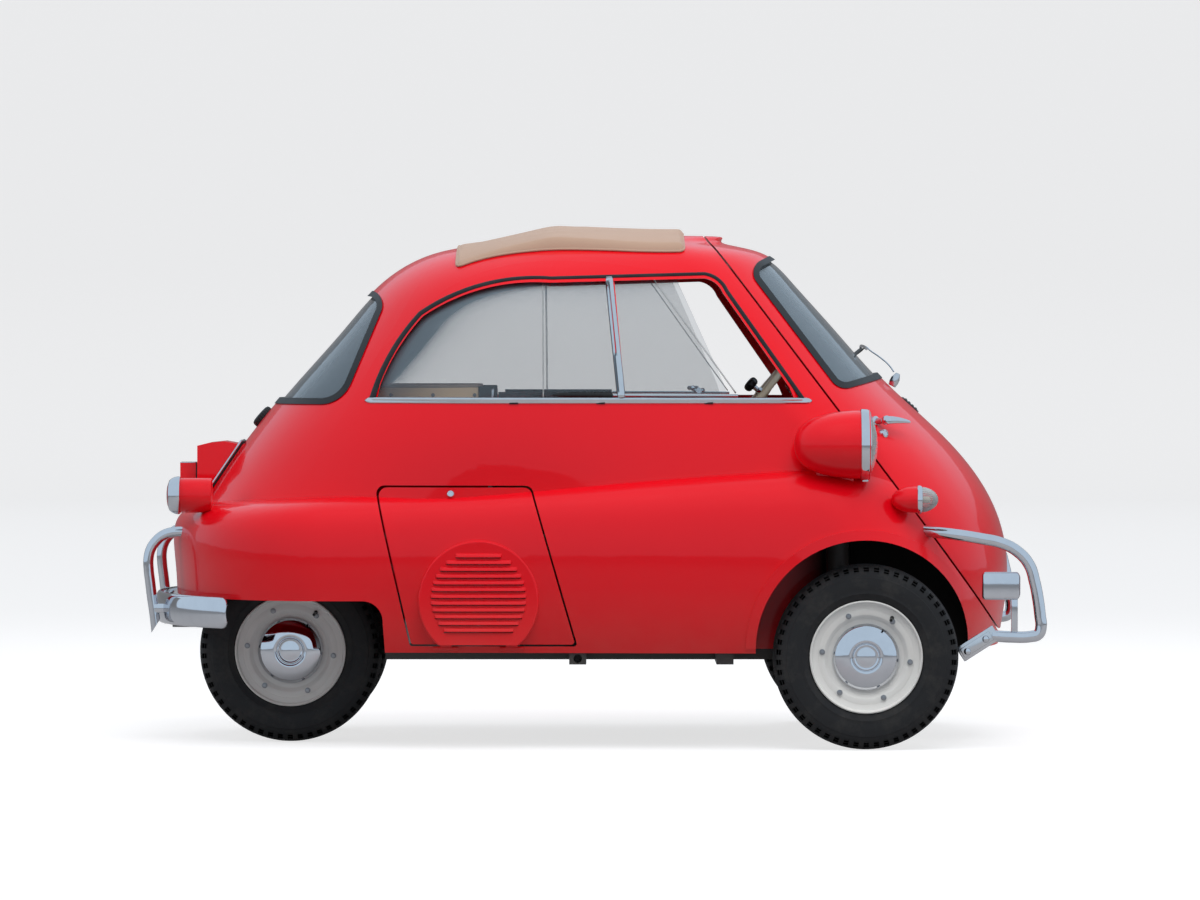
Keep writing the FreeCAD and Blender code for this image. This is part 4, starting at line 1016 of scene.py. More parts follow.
# X, half of the cloth's width
CLOTH_HALF = [(-0.358, 0.34), (-0.28, 0.343), (-0.17, 0.35), (-0.05, 0.351), (0.05, 0.347), (0.237, 0.338)]
CREASE_DEEP, CREASE_AT = 0.0007, -0.098
cloth_cad = skin_of("fabric_roof")
roof_cad = skin_of(*BODY_SIDE, "tail_panel")


def drop_on(tree, x, y):
    """Height of the first surface below a point over the car."""
    hit = tree.ray_cast(Vector((x, y, 2)), Vector((0, 0, -1)))[0]
    return None if hit is None else hit.z


def bump_out(share):
    """Height of a quarter circle at a share of its width."""
    return math.sqrt(max(1 - (1 - min(share, 1)) ** 2, 0))


def roof_x(u):
    """X on the cloth, with the grid closer at both ends."""
    return ROOF_REAR + (ROOF_FRONT - ROOF_REAR) * (0.5 - 0.5 * math.cos(math.pi * u))


def cloth_half(x):
    """Half width of the cloth at X, with rounded corners."""
    to_end = min(x - ROOF_REAR, ROOF_FRONT - x)
    return on_line(CLOTH_HALF, x) - CORNER * (1 - bump_out(to_end / CORNER))


def over_roof(u, v):
    x = roof_x(u)
    half = cloth_half(x)
    y = -half * math.cos(math.pi * v)
    inside = min(max(x, -0.344), 0.231)
    crown = drop_on(cloth_cad, inside, y * 0.99) - drop_on(cloth_cad, inside, 0)
    high = on_line(CLOTH_TOP, x) + crown
    low = drop_on(roof_cad, x, y)
    low = high - 0.02 if low is None else low
    high = max(high, low + LEAST_LIFT)
    rise = bump_out(min(x - ROOF_REAR, ROOF_FRONT - x, half - abs(y)) / EDGE_ROUND)
    pull = CREASE_DEEP * math.sin(y * 88 + 9 * x) * math.exp(-abs(x - CREASE_AT) * 9)
    return Vector((x, y, low + CLEAR_OF_ROOF + (high - low + pull) * rise))


shape = laid_grid(110, 140, over_roof)
cloth_area = sum(f.calc_area() for f in shape.faces)
roof_cloth = piece("roof_cloth", shape, hood_cloth, 60, CLOTH_THICK, 1, node="fabric_roof")
along = sum((over_roof(k / 40, 0.5) - over_roof((k + 1) / 40, 0.5)).length for k in range(40))
print("cloth area:", round(cloth_area, 4), "m2, length in the middle:", round(along, 4), "m")

# %% Hem of the roof cloth
HEM_RADIUS = 0.0034
near = [(roof_x(k / 24), cloth_half(roof_x(k / 24))) for k in range(25)]
across = (0.24, 0.12, 0, -0.12, -0.24)
ring = near + [(ROOF_FRONT, y) for y in across]
ring += [(x, -y) for x, y in reversed(near)] + [(ROOF_REAR, -y) for y in across]
hem_line = [(x, y, drop_on(roof_cad, x, y) + HEM_RADIUS + 0.0006) for x, y in ring]
hem = piece("roof_cloth_hem", tube(hem_line, HEM_RADIUS, True, 10), hood_cloth, 60)
print("hem points:", len(hem_line))

# %% [markdown]
# ## Parcel tray
# Behind the seat stands a shallow tray. Its sides are covered in cream cloth and end in a soft brown
# roll, with small dark bolts below. A dark bracket with a bright strip holds each front corner.

# %% A block with rounded edges


def rounded(shape, edges, offset, segments=3):
    """Rounds some edges of a shape."""
    bmesh.ops.bevel(shape, geom=edges, offset=offset, segments=segments, profile=0.5,
                    affect="EDGES", material=-1)


def block(low, high, edge, segments=3):
    """A box between two corners, with rounded edges."""
    shape = bmesh.new()
    bmesh.ops.create_cube(shape, size=1)
    low, high = Vector(low), Vector(high)
    bmesh.ops.scale(shape, vec=high - low, verts=shape.verts[:])
    bmesh.ops.translate(shape, vec=(low + high) / 2, verts=shape.verts[:])
    if edge:
        rounded(shape, shape.edges[:], edge, segments)
    return facing_out(shape)


# %% Build the tray
TRAY_LOW, TRAY_HIGH = (-0.580, -0.300, 0.8885), (-0.300, 0.300, 0.932)
TRAY_WALL, TRAY_DEEP, TRAY_CORNER = 0.011, 0.036, 0.006
ROLL_RADIUS, ROLL_ABOVE = 0.0056, 0.003
# how far the roll stays from the corner in X and in Y, before, at and after it
ROLL_TURN = [(0.012, 0), (0.002, 0.002), (0, 0.012)]
TRAY_BOLT = [(0, 5), (1.2, 5), (2.2, 3.4), (3, 0)]
TRAY_BOLT_X, TRAY_BOLT_Z = (-0.532, -0.4215, -0.312), 0.9125

shape = block(TRAY_LOW, TRAY_HIGH, 0)
lid = [f for f in shape.faces if f.normal.z > 0.9]
bmesh.ops.inset_region(shape, faces=lid, thickness=TRAY_WALL)
bmesh.ops.translate(shape, verts=lid[0].verts[:], vec=(0, 0, -TRAY_DEEP))
upright = [e for e in shape.edges if abs((e.verts[0].co - e.verts[1].co).normalized().z) > 0.9]
rounded(shape, upright, TRAY_CORNER)
piece("parcel_tray_cloth", shape, tray_cream_and_painted_light, 40, node="parcel_tray")
(x0, y0, _), (x1, y1, top) = TRAY_LOW, TRAY_HIGH
ring = []
for corner, (x, y) in enumerate(((x0, y0), (x1, y0), (x1, y1), (x0, y1))):
    to_x, to_y = (1 if x == x0 else -1), (1 if y == y0 else -1)
    for pull_x, pull_y in ROLL_TURN if corner % 2 else reversed(ROLL_TURN):
        inner = 0.5 * TRAY_WALL
        ring.append((x + to_x * (inner + pull_x), y + to_y * (inner + pull_y), top + ROLL_ABOVE))
piece("parcel_tray_roll", tube(ring, ROLL_RADIUS, True, 10), roll_brown, 60)
bolts = [turned(TRAY_BOLT, (x, side * y1, TRAY_BOLT_Z), ACROSS, 12, side=side)
         for x in TRAY_BOLT_X for side in (-1, 1)]
piece("parcel_tray_bolts", merged(bolts), steel, 30)
for hand, side in SIDES:
    arm = block((-0.302, side * 0.300 - 0.006, 0.8885), (-0.262, side * 0.300 + 0.006, 0.936), 0.003)
    piece("tray_bracket_" + hand, arm, black_plastic, 40)
    bright = block((-0.268, side * 0.306 - 0.003, 0.8885), (-0.261, side * 0.306 + 0.003, 0.928), 0.0015)
    piece("tray_bright_strip_" + hand, bright, bright_trim, 40)
print("tray bolts:", len(bolts))

# %% [markdown]
# ## Bench seat
# The bench has one wide cushion and one wide back, covered in woven cloth with pale piping. A stuffed
# cushion can't be drawn well as a box, so each starts as a rounded block, is turned into an even mesh
# and is blown up a little by a cloth simulation. How far a point may move is capped, so the cushion
# stays in its place. The piping is then laid on the finished surface.

# %% Simulated padding
VOXEL, PAD_PRESSURE, PAD_FRAMES = 0.006, 4, 20


def settle(made):
    """Applies the modifiers of a piece to its mesh."""
    graph = bpy.context.evaluated_depsgraph_get()
    mesh = bpy.data.meshes.new_from_object(made.evaluated_get(graph))
    old = made.data
    made.modifiers.clear()
    made.data = mesh
    bpy.data.meshes.remove(old)


def puffed(made, cap):
    """Swells a closed mesh by a cloth simulation, by no more than the cap."""
    remesh = made.modifiers.new("even_mesh", "REMESH")
    remesh.mode = "VOXEL"
    remesh.voxel_size = VOXEL * 1
    settle(made)
    start = [v.co.copy() for v in made.data.vertices]
    cloth = made.modifiers.new("cloth", "CLOTH")
    cloth.settings.use_pressure = True
    cloth.settings.uniform_pressure_force = PAD_PRESSURE
    cloth.settings.effector_weights.gravity = 0
    cloth.point_cache.frame_start = 1
    cloth.point_cache.frame_end = PAD_FRAMES
    for frame_now in range(1, PAD_FRAMES + 1):
        bpy.context.scene.frame_set(frame_now)
    settle(made)
    bpy.context.scene.frame_set(1)
    for v, before in zip(made.data.vertices, start):
        move = v.co - before
        if move.length > cap:
            v.co = before + move.normalized() * cap
    finer = made.modifiers.new("finer", "SUBSURF")
    finer.levels = finer.render_levels = 1
    settle(made)


# %% Seams and piping
SEAM_PLACES, SEAM_DEEP, SEAM_WIDE = (-0.16, 0.16), 0.0045, 0.007
PIPING_RADIUS, PIPING_PER_SIDE = 0.0034, 14


def pressed_seams(made):
    """Presses a sewn seam into a cover at each seam's Y."""
    shape = bmesh.new()
    shape.from_mesh(made.data)
    shape.normal_update()
    for v in shape.verts:
        for y in SEAM_PLACES:
            v.co -= v.normal * SEAM_DEEP * math.exp(-((v.co.y - y) / SEAM_WIDE) ** 2)
    shape.to_mesh(made.data)
    shape.free()


def piping_on(name, made, corners):
    """Piping along a closed line of corners, set on the piece's surface."""
    tree = skin_of(made)
    points = []
    for a, b in zip(corners, corners[1:] + corners[:1]):
        for k in range(PIPING_PER_SIDE):
            wanted = Vector(a).lerp(Vector(b), (k + 0.5) / PIPING_PER_SIDE)
            near, normal = tree.find_nearest(wanted)[:2]
            points.append(near + normal * PIPING_RADIUS * 0.3)
    piece(name, tube(points, PIPING_RADIUS, True, 4, 3), piping, 60)


def cover(name, shape, node, cap, corners):
    """A padded cover with its seams and its piping."""
    made = mesh_object(name + "_cover", shape)
    puffed(made, cap)
    hand_over(made, seat_weave, 0, node=node)
    pressed_seams(made)
    piping_on(name + "_piping", made, corners)
    print(name, "faces:", len(made.data.polygons))


# %% Cushion and back
PAD_MARGIN = 0.009
CUSHION_CAP, CUSHION_EDGE = 0.010, 0.026
BACK_CAP, BACK_EDGE = 0.008, 0.010
SEAT_BACK_SIDE = [
    (-0.174, 0.553), (-0.246, 0.568), (-0.247, 0.862), (-0.238, 0.879), (-0.2, 0.876), (-0.094, 0.553),
]
CUSHION_RIM = [(-0.175, -0.475, 0.526), (0.266, -0.475, 0.526), (0.266, 0.475, 0.526), (-0.175, 0.475, 0.526)]
BACK_RIM = [(-0.090, -0.475, 0.560), (-0.190, -0.475, 0.880), (-0.190, 0.475, 0.880), (-0.090, 0.475, 0.560)]

low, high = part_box("seat_cushion")
margin = Vector((PAD_MARGIN, PAD_MARGIN, PAD_MARGIN))
shape = block(Vector(low) + Vector((PAD_MARGIN, PAD_MARGIN, 0.002)), Vector(high) - margin, CUSHION_EDGE, 4)
cover("seat_cushion", shape, "seat_cushion", CUSHION_CAP, CUSHION_RIM)

shape = bmesh.new()
low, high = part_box("seat_back")
joined_edges(shape, [(x, low[1] + PAD_MARGIN, z) for x, z in SEAT_BACK_SIDE], closed=True)
bmesh.ops.contextual_create(shape, geom=shape.edges[:])
pulled = bmesh.ops.extrude_face_region(shape, geom=shape.faces[:])["geom"]
wide = high[1] - low[1] - 2 * PAD_MARGIN
bmesh.ops.translate(shape, verts=only(bmesh.types.BMVert, pulled), vec=(0, wide, 0))
facing_out(shape)
rounded(shape, shape.edges[:], BACK_EDGE)
cover("seat_back", shape, "seat_back", BACK_CAP, BACK_RIM)

# %% [markdown]
# ## Steering wheel
# The wheel is ivory plastic: a round rim, three spokes and a domed hub with a plain bright ring and a
# horn button. A ribbed spinner knob is clamped to the rim on the near side. All of it turns with the
# wheel, about the line of the column.

# %% Build the wheel
COLUMN = Vector((0.770, 0, -0.638)).normalized()
UP_THE_RIM = Vector((0.638, 0, 0.770))
WHEEL_CENTRE = Vector((0.390, 0.300, 0.830))
RIM_OUT, RIM_THICK, RIM_SIDES = 0.188, 0.011, 20
GRIP_COUNT, GRIP_DEEP = 72, 0.05
WHEEL_HUB = [(36, 24), (30, 31), (10, 32), (0, 31), (-6, 27), (-9, 20), (-9.5, 0)]
HORN_BUTTON = [(-8, 0), (-8, 21.5), (-10.6, 21.5), (-12.4, 20), (-12, 17.5), (-13, 12), (-13.6, 0)]
# degrees from the top of the rim, towards the car's left
SPOKE_TURNS, SPOKE_WIDEN = (90, -30, -150), 0.55


def across_wheel(degrees):
    """A direction in the plane of the wheel."""
    turn = math.radians(degrees)
    return UP_THE_RIM * math.cos(turn) + Vector(ACROSS) * math.sin(turn)


rim_section = []
for step in range(RIM_SIDES):
    angle = math.tau * step / RIM_SIDES
    rim_section.append((RIM_THICK * math.sin(angle), RIM_OUT + RIM_THICK * math.cos(angle)))
ring = turned(rim_section, WHEEL_CENTRE, COLUMN, 144, closed=True, unit=1)
for v in ring.verts:
    away = v.co - WHEEL_CENTRE
    flat_out = (away - COLUMN * away.dot(COLUMN)).normalized()
    turn = math.atan2(flat_out.dot(COLUMN.cross(ACROSS)), flat_out.y)
    if away.dot(COLUMN) > 0:
        grip = GRIP_DEEP * (1 + math.cos(turn * GRIP_COUNT))
        v.co -= (v.co - (WHEEL_CENTRE + flat_out * RIM_OUT)) * grip
spokes = []
for turn in SPOKE_TURNS:
    out = across_wheel(turn).normalized()
    start = WHEEL_CENTRE + COLUMN * 0.020 + out * 0.020
    end = WHEEL_CENTRE + out * (RIM_OUT - 0.003)
    spoke, line = bmesh.new(), end - start
    place = Matrix.Translation((start + end) / 2) @ line.to_track_quat("Z", "Y").to_matrix().to_4x4()
    bmesh.ops.create_cone(spoke, cap_ends=True, segments=20, radius1=0.0115, radius2=0.0068,
                          depth=line.length, matrix=place)
    wide_way = COLUMN.cross(line.normalized())
    for v in spoke.verts:
        v.co += wide_way * (v.co - start).dot(wide_way) * SPOKE_WIDEN
    spokes.append(spoke)
plastic = merged([ring, turned(WHEEL_HUB, WHEEL_CENTRE, COLUMN)] + spokes)
piece("steering_wheel_plastic", plastic, ivory_and_painted_light, 40, node="steering_wheel", body="steering_wheel")
piece("horn_button", turned(HORN_BUTTON, WHEEL_CENTRE, COLUMN), chrome, 40, body="steering_wheel")
print("wheel rim across:", round(2 * (RIM_OUT + RIM_THICK), 3))

# %% Spinner knob on the rim
SPINNER_TURN, SPINNER_RIBS, RIB_DEEP = -55.7, 8, 0.05
SPINNER_FOOT = [(9, 0), (9, 10), (14, 12), (18, 12), (20, 7), (30, 7), (31, 12)]
SPINNER_KNOB = [(30, 12), (33, 17), (38, 19.5), (45, 20), (50, 18), (53.5, 12), (54.5, 0)]
out = across_wheel(SPINNER_TURN)
grip = WHEEL_CENTRE + out * RIM_OUT
piece("spinner_clamp", turned(SPINNER_FOOT, grip, -COLUMN, 32), chrome, 40, body="steering_wheel")
knob = turned(SPINNER_KNOB, grip, -COLUMN, 96)
side_way = out.cross(COLUMN).normalized()
for v in knob.verts:
    away = v.co - grip
    flat = away - COLUMN * away.dot(COLUMN)
    v.co += flat * RIB_DEEP * math.cos(SPINNER_RIBS * math.atan2(flat.dot(side_way), flat.dot(out)))
piece("spinner_knob", knob, black_plastic, 60, body="steering_wheel")
print("spinner at:", [round(c, 3) for c in grip])

# %% [markdown]
# ## Wiper, door lever and lock
# The wiper turns on a small wedge-shaped gearbox below the windscreen. A thin wire arm reaches over
# the rubber seal and holds a level blade against the glass. The door opens by a tapered chrome lever
# on a round hub, with the lock's bright ring just below it.

# %% Wiper
WIPER_AT = Vector((0.806, -0.020, 0.951))
GEARBOX = [(-18, 10), (-6, 12.5), (4, 12), (14, 8), (19, 6), (20, 0)]
GEARBOX_WIDEN = 0.35
WIPER_ARM = [
    (0.803, -0.020, 0.973), (0.793, -0.006, 0.988), (0.768, 0.040, 1.012), (0.744, 0.080, 1.030),
    (0.733, 0.098, 1.040), (0.722, 0.110, 1.043),
]
BLADE_HOLDER = [
    (0.730, -0.020, 1.034), (0.726, 0.045, 1.040), (0.722, 0.110, 1.042), (0.723, 0.175, 1.040),
    (0.726, 0.240, 1.034),
]
door = next(b for b, names in frame["record"]["behaviour"]["bodies"].items() if "wiper" in names)
gear = turned(GEARBOX, WIPER_AT, (0.45, 0, 0.9), 32)
for v in gear.verts:
    v.co.y += (v.co.y - WIPER_AT.y) * GEARBOX_WIDEN
piece("wiper_gearbox", gear, bright_trim, 40, slot="steel", node="wiper", body=door)
piece("wiper_arm", tube(WIPER_ARM, 0.0020), chrome, 60, body=door)
piece("wiper_blade_holder", tube(BLADE_HOLDER, 0.0038), chrome, 60, body=door)
screen_skin = skin_of("windscreen_glass", "windscreen_seal")


def blade_edge(u, v):
    """From the holder down to the glass."""
    y = -0.028 + 0.276 * u
    top = Vector((0.724, y, 1.036))
    hit = screen_skin.ray_cast(top + Vector((0.2, 0, 0.17)), Vector((-0.76, 0, -0.65)))[0]
    foot = Vector((0.703, y, 1.015)) if hit is None else hit
    spread = math.sin(math.tau * v) * 0.0026
    reach = 0.5 - 0.5 * math.cos(math.tau * v)
    return top.lerp(foot, reach) + Vector((0.65, 0, -0.76)) * spread * (1 - 0.7 * reach)


piece("wiper_rubber", laid_grid(60, 12, blade_edge), seal_rubber, 60, body=door)
print("wiper rides on:", door)

# %% Door lever and lock
LEVER_TIP = Vector((0.828, -0.422, 0.835))
LEVER_HIGH, LEVER_DEEP, LEVER_BOW = 0.0112, 0.0062, 0.0035
HUB_AXIS = Vector((0.70, -0.70, 0.10)).normalized()
LEVER_HUB = [
    (-14, 14.5), (3, 14.5), (5, 12.5), (6.5, 8.5), (26, 7.4), (30, 9), (33, 11.5), (43, 12), (47, 10),
    (48.6, 6), (49, 0),
]
LOCK = [(-8, 11.5), (5, 11.5), (8, 10), (9, 7.4), (7.8, 6.6), (7.8, 0)]
door_skin = skin_of("front_door")


def on_door(x, y, z):
    """Where a line along the hub's axis meets the door."""
    return door_skin.ray_cast(Vector((x, y, z)) + HUB_AXIS * 0.2, -HUB_AXIS)[0]


lever_foot = on_door(0.773, -0.483, 0.850)
run_from = lever_foot + HUB_AXIS * 0.038
lift_way = (LEVER_TIP - run_from).cross(HUB_AXIS).normalized()
lift_way *= math.copysign(1, lift_way.z)


def lever_shape(u, v):
    """A tapered bar with a level top that curls down at its tip."""
    half_high = LEVER_HIGH * (1 - 0.70 * u ** 1.5)
    half_deep = LEVER_DEEP * (1 - 0.60 * u)
    close = math.sqrt(max(1 - max(u - 0.94, 0) / 0.06, 0))
    middle = run_from.lerp(LEVER_TIP, u) + lift_way * (LEVER_BOW * 4 * u * (1 - u) + LEVER_HIGH - half_high)
    angle = math.tau * v
    return middle + (lift_way * half_high * math.cos(angle) + HUB_AXIS * half_deep * math.sin(angle)) * close


lever = laid_grid(40, 24, lever_shape)
bmesh.ops.remove_doubles(lever, verts=lever.verts[:], dist=1e-5)
piece("lever_blade", facing_out(lever), chrome, body=door)
piece("lever_hub", turned(LEVER_HUB, lever_foot, HUB_AXIS), chrome, 40, node="door_handle", body=door)
lock = turned(LOCK, on_door(0.770, -0.478, 0.8150), HUB_AXIS, 40)
piece("door_lock", lock, chrome, 40, body=door)
print("lever length:", round((LEVER_TIP - run_from).length, 3))

# %% [markdown]
# ## Louvred engine panel
# The panel over the engine carries a flat round pad with twelve pressed louvres. A press cuts a slit
# and pushes the metal above it outward, so each louvre is a small hood with a sharp lower edge. One
# hood is a grid that stands proud at its lower edge and runs back into the pad at its top and ends.

# %% Press the hoods
PAD_FACE_Y, PAD_MIDDLE = -0.666, (-0.295, 0.390)
LOUVRE_RING = 0.122
LOUVRE_FIRST, LOUVRE_PITCH, LOUVRE_COUNT = 0.1075, 0.0174, 12
HOOD_HIGH, HOOD_PROUD, HOOD_DROP = 0.0100, 0.0056, 0.0010
HOOD_WIDER, HOOD_SUNK = 0.003, 0.0004
PANEL_LOCK, PANEL_LOCK_AT = [(-2, 9), (2, 9), (3.4, 7.6), (3.6, 5), (2.8, 4.4), (2.8, 0)], (-0.368, 0.660)


def hood(rise):
    """One hood over the slit at this height above the pad's middle."""
    half = math.sqrt(LOUVRE_RING ** 2 - rise ** 2) + HOOD_WIDER
    foot = PAD_MIDDLE[1] + rise + HOOD_DROP

    def place(u, v):
        across = 2 * u - 1
        ends = max(1 - abs(across) ** 14, 0) ** 0.5
        lean = math.cos(0.5 * math.pi * v)
        proud = HOOD_PROUD * lean ** 0.8 if v < 1 else 0
        y = PAD_FACE_Y - proud * ends + HOOD_SUNK
        return Vector((PAD_MIDDLE[0] + half * across, y, foot + HOOD_HIGH * v - HOOD_DROP * lean * ends))

    return laid_grid(40, 8, place)


hoods = merged([hood(LOUVRE_FIRST - LOUVRE_PITCH * k) for k in range(LOUVRE_COUNT)])
piece("louvre_hoods", hoods, body_red, 60, wall=0.0008, body="engine_panel")
x, z = PANEL_LOCK_AT
depth = side_depth(skin_of("engine_panel"), x, z, -1)
lock = turned(PANEL_LOCK, (x, depth, z), (0, -1, 0.25), 32)
piece("panel_lock", lock, chrome, 40, body="engine_panel")
print("louvres:", LOUVRE_COUNT)

# %% [markdown]
# ## Bumpers
# Every front corner has a chrome tube that leaves the wing, bends down and runs back under the body,
# where a flat bracket is bolted on. A short blade with a crowned face stands inside the bend, held by
# a strap. The tail has one long curved blade and two upright tubes whose lower ends are cut slantwise.

# %% Front tubes, blades and brackets
# X and Z of the tube's middle line, from the wing round to the bracket
FRONT_TUBE = [
    (0.862, 0.562), (0.93, 0.555), (0.999, 0.544), (1.055, 0.532), (1.0965, 0.51), (1.126, 0.476),
    (1.14, 0.432), (1.149, 0.386), (1.154, 0.347), (1.1565, 0.314), (1.15, 0.297), (1.131, 0.291),
    (1.076, 0.29), (1.03, 0.293),
]
FRONT_TUBE_Y, FRONT_TUBE_RADIUS, ROOT_SUNK = 0.592, 0.0150, 0.012
BLADE_EDGE, BLADE_TIP_X, BLADE_MIDDLE_Z, BLADE_NARROWS = 0.0093, 1.103, 0.422, 0.22
BRACKET_LOW, BRACKET_HIGH, BRACKET_Y = Vector((0.9527, 0, 0.247)), Vector((1.036, 0, 0.300)), 0.600
BRACKET_BOLT = [(0, 9.5), (1.2, 9.5), (5, 7.6), (7, 4), (7.4, 0)]
BRACKET_BOLTS_AT, BRACKET_FACE_Y = ((1.013, 0.285), (0.966, 0.253)), 0.605
wing_skin = skin_of("side_panel_right", "side_panel_left", "front_door")
for hand, side in SIDES:
    (x, z), y = FRONT_TUBE[0], side * FRONT_TUBE_Y
    root = side_depth(wing_skin, x, z, side)
    line = [(x - ROOT_SUNK, root - side * ROOT_SUNK, z + 0.001)] + [(x, y, z) for x, z in FRONT_TUBE[1:]]
    piece("front_tube_" + hand, tube(line, FRONT_TUBE_RADIUS, False, 8, 6), chrome, 60, node="front_bumpers")
    low_y, high_y = sorted((y - side * 0.006, y + side * 0.013))
    face = block((1.004, low_y, 0.386), (BLADE_TIP_X, high_y, 0.458), BLADE_EDGE, 6)
    for v in face.verts:
        end = max((v.co.x - BLADE_TIP_X) / BLADE_EDGE + 1, 0)
        v.co.z = BLADE_MIDDLE_Z + (v.co.z - BLADE_MIDDLE_Z) * (1 - BLADE_NARROWS * end * end)
    piece("front_blade_" + hand, face, chrome, 60)
    strap = block((1.0795, y - 0.0045, 0.296), (1.0965, y + 0.0045, 0.430), 0.002, 2)
    piece("front_strap_" + hand, strap, chrome, 40)
    run = BRACKET_HIGH - BRACKET_LOW
    half = 0.5 * run.length + 0.006
    bar = merged([block((-half, -0.003, -0.021), (half, 0.003, 0.021), 0.0024, 2),
                  block((0.006 - half, -0.006, -0.013), (half - 0.016, 0.006, 0.013), 0.0024, 2)])
    middle = Matrix.Translation((BRACKET_LOW + BRACKET_HIGH) / 2 + Vector((0, side * BRACKET_Y, 0)))
    turn = Matrix.Rotation(-math.atan2(run.z, run.x), 4, "Y")
    bmesh.ops.transform(bar, matrix=middle @ turn, verts=bar.verts[:])
    piece("front_bracket_" + hand, bar, bright_trim, 40, slot="steel")
    heads = [turned(BRACKET_BOLT, (x, side * BRACKET_FACE_Y, z), ACROSS, 24, side=side)
             for x, z in BRACKET_BOLTS_AT]
    piece("bracket_bolts_" + hand, merged(heads), chrome, 40)
print("bracket length:", round(2 * half, 3))

# %% Rear blade
BLADE_MIDDLE_X, BLADE_REACH, BLADE_HALF = -0.702, 0.461, 0.661
BLADE_LOW, BLADE_HIGH = 0.310, 0.389
BLADE_TURN, BLADE_ENDS = math.radians(57.4), 0.035
BLADE_CROWN, BLADE_SUNK = 0.013, 0.006


def rear_face(u, v):
    """A crowned face outside the CAD blade, with rounded ends."""
    across = 2 * u - 1
    turn = BLADE_TURN * across
    base = Vector((BLADE_MIDDLE_X - BLADE_REACH * math.cos(turn), BLADE_HALF * math.sin(turn), 0))
    out = Vector((-math.cos(turn) / BLADE_REACH, math.sin(turn) / BLADE_HALF, 0)).normalized()
    end = max(abs(across) - (1 - BLADE_ENDS), 0) / BLADE_ENDS
    round_end = math.sqrt(max(1 - 0.75 * end ** 2, 0))
    middle, half = 0.5 * (BLADE_LOW + BLADE_HIGH), 0.5 * (BLADE_HIGH - BLADE_LOW)
    angle = math.pi * (v - 0.5)
    lift = BLADE_CROWN * math.cos(angle) ** 0.7 * round_end if 0 < v < 1 else 0
    base += out * (lift - BLADE_SUNK)
    base.z = middle + half * math.sin(angle) * round_end
    return base


blade = piece("rear_blade", laid_grid(160, 20, rear_face), chrome, 60, wall=0.0015, node="rear_bumper")
print("rear blade faces:", len(blade.data.polygons))

# %% Rear tubes with their clamps, and the rods behind the blade
REAR_TUBE = [
    (-1.05, 0.55), (-1.107, 0.5508), (-1.1334, 0.543), (-1.154, 0.5262), (-1.167, 0.507),
    (-1.1735, 0.481), (-1.173, 0.451), (-1.169, 0.417), (-1.1645, 0.379), (-1.159, 0.342), (-1.152, 0.28),
]
REAR_TUBE_Y, REAR_TUBE_RADIUS = 0.250, 0.0135
CUT_AT, CUT_FACING = Vector((-1.1545, 0, 0.3035)), Vector((0.845, 0, -0.534))
REAR_ROD, REAR_ROD_Y, REAR_ROD_Z = [(-1159, 0), (-1159, 9), (-1000, 9), (-1000, 0)], 0.097, 0.364
for hand, side in SIDES:
    y = side * REAR_TUBE_Y
    shape = tube([(x, y, z) for x, z in REAR_TUBE], REAR_TUBE_RADIUS, False, 8, 6)
    everything = shape.verts[:] + shape.edges[:] + shape.faces[:]
    cut = bmesh.ops.bisect_plane(shape, geom=everything, plane_co=CUT_AT, plane_no=CUT_FACING,
                                 clear_outer=True)
    bmesh.ops.edgeloop_fill(shape, edges=only(bmesh.types.BMEdge, cut["geom_cut"]))
    piece("rear_tube_" + hand, facing_out(shape), chrome, 60)
    clamp = block((-1.163, y - 0.013, 0.338), (-1.108, y + 0.013, 0.362), 0.003, 2)
    piece("rear_clamp_" + hand, clamp, chrome, 40)
    rod = turned(REAR_ROD, (0, side * REAR_ROD_Y, REAR_ROD_Z), AHEAD, 24)
    piece("rear_rod_" + hand, rod, chrome, 40)
print("rear tube points:", len(REAR_TUBE))

# %% [markdown]
# ## Plate housing and filler cap
# The housing for the number plate lamp is a red box with a dark rubber gasket and a bright bead where
# it meets the tail. The fuel filler cap is a black moulded cap with grip ribs and a bright ring.

# %% Gasket, bead, and painted shade in the lamp slot
BEAD_LINE = [(-1.03, 0.654), (-1.008, 0.6865), (-0.985, 0.7205), (-0.962, 0.754), (-0.942, 0.7835)]


def over_housing(away, half, top):
    """A line up one side of the housing, across its top and down again."""
    end = BEAD_LINE[-1][0] - away
    near = [(x - away, -half, z) for x, z in BEAD_LINE]
    near += [(end + 0.002, -half + 0.004, top), (end + 0.003, -half + 0.03, top + 0.001)]
    return near + [(end + 0.003, 0, top + 0.001)] + [(x, -y, z) for x, y, z in reversed(near)]


bead = over_housing(0, 0.0808, 0.7868)
piece("housing_bead", tube(bead, 0.0036, False, 6), chrome, 60)
piece("housing_gasket", tube(over_housing(-0.0065, 0.0806, 0.7855), 0.0030, False, 6), seal_rubber, 60)
# a black block stands in as painted shade in the gap of the lamp slot
slot = block((-1.0625, -0.0405, 0.681), (-1.0550, 0.0405, 0.7310), 0.001, 2)
piece("housing_slot_shade", slot, seal_rubber, 40)
edge = block((-1.1045, -0.0400, 0.7290), (-1.0640, 0.0400, 0.7316), 0.0008, 2)
piece("housing_top_edge", edge, bright_trim, 40)
print("bead points:", len(bead))

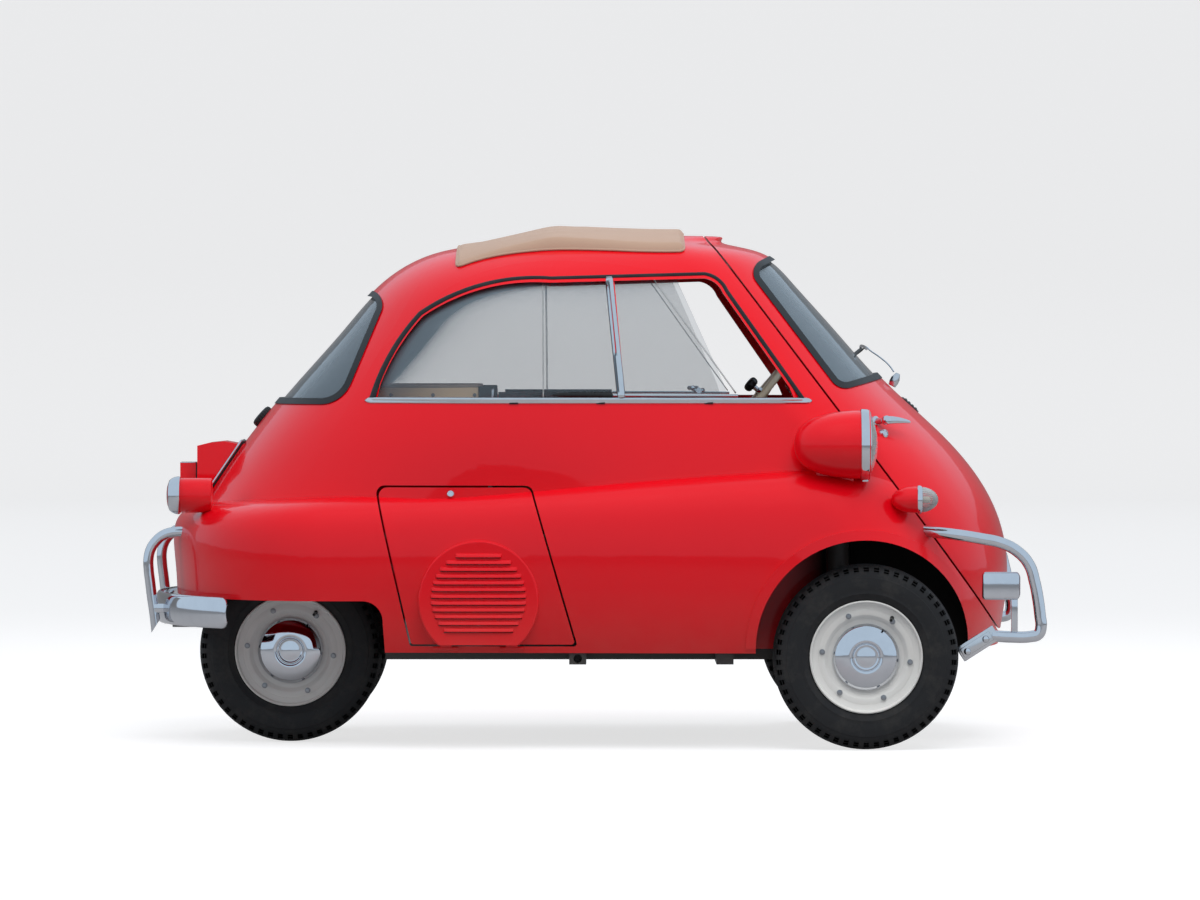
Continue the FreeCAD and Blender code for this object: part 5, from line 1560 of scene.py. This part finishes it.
# %% Filler cap
CAP_AXIS = Vector((-0.75, 0, 0.66)).normalized()
CAP_FOOT = Vector((-0.8700, 0, 0.8395))
CAP_LINE = [
    (-6, 27), (5, 27), (5.6, 24.5), (9, 24.5), (10, 29.4), (13, 30.4), (25, 30), (29, 27.6), (31.4, 22),
    (32, 14), (32.2, 0),
]
CAP_RING = [(5.4, 26.6), (5.4, 28.4), (6.4, 29), (7.6, 28.4), (7.6, 26.6)]
GRIP_RIBS, GRIP_RIB_DEEP, GRIP_ABOVE, GRIP_OUTSIDE = 24, 0.0009, 0.0095, 0.0265
cap = turned(CAP_LINE, CAP_FOOT, CAP_AXIS, 144)
for v in cap.verts:
    away = v.co - CAP_FOOT
    high = away.dot(CAP_AXIS)
    flat = away - CAP_AXIS * high
    if high > GRIP_ABOVE and flat.length > GRIP_OUTSIDE:
        angle = math.atan2(flat.y, flat.dot(CAP_AXIS.cross(ACROSS)))
        v.co += flat.normalized() * GRIP_RIB_DEEP * math.cos(GRIP_RIBS * angle)
piece("filler_cap_moulding", cap, black_plastic, 40, node="filler_cap")
piece("filler_cap_ring", turned(CAP_RING, CAP_FOOT, CAP_AXIS, 72, True), chrome)
print("cap across in mm:", 2 * max(out for _, out in CAP_LINE))

# %% [markdown]
# ## Inner window sills and the nose vent
# Inside each side window runs a dark padded rail behind the seat and a thin bright channel ahead of
# it. On the nose, just ahead of the wiper, sits a low dark air vent.

# %% Rails inside the windows, and painted shade in the drain slots of the sill strips
# piece, points on the car's left, radius, finish
RAILS = [
    ("inner_rail_", [(-0.245, 0.556, 0.914), (-0.100, 0.563, 0.914), (0.050, 0.562, 0.914)], 0.0085,
     black_plastic),
    ("inner_channel_", [(0.052, 0.561, 0.914), (0.200, 0.553, 0.914), (0.375, 0.532, 0.913)], 0.0035,
     bright_trim),
]
DRAIN_X, DRAIN_Z = (-0.205, 0.019, 0.299), 0.8935
for hand, side in SIDES:
    for name, points, radius, finish in RAILS:
        piece(name + hand, tube([(x, side * y, z) for x, y, z in points], radius), finish, 60)
    # black blocks stand in as painted shade inside the drain slots
    slot_shades = []
    for x in DRAIN_X:
        depth = side_depth(body_skin, x, DRAIN_Z, side)
        near, far = sorted((depth - side * 0.002, depth + side * 0.0038))
        low, high = (x - 0.0115, near, DRAIN_Z - 0.002), (x + 0.0115, far, DRAIN_Z + 0.0022)
        slot_shades.append(block(low, high, 0.0006, 1))
    piece("drain_slot_shades_" + hand, merged(slot_shades), seal_rubber, 40)
print("drain slots per side:", len(DRAIN_X))

# %% The nose vent
VENT_HALF, VENT_LOW, VENT_HIGH = 0.055, 0.864, 0.040
VENT_PROUD, VENT_RIBS, VENT_RIB_HIGH, VENT_SUNK = 0.0060, 5, 0.0012, 0.0006


def vent_shape(u, v):
    """A low dome that follows the nose, with five ribs across it."""
    spot = Vector((2, VENT_HALF * (2 * u - 1), VENT_LOW + VENT_HIGH * v))
    edge = max(1 - abs(2 * u - 1) ** 6, 0) * max(1 - abs(2 * v - 1) ** 6, 0)
    ribs = VENT_RIB_HIGH * math.cos(math.tau * VENT_RIBS * v)
    hit, normal = door_skin.ray_cast(spot, Vector((-1, 0, 0)))[:2]
    return hit + normal * ((VENT_PROUD + ribs) * math.sqrt(edge) - VENT_SUNK)


piece("nose_vent", laid_grid(40, 60, vent_shape), black_plastic, body=door)
print("vent height:", VENT_HIGH)
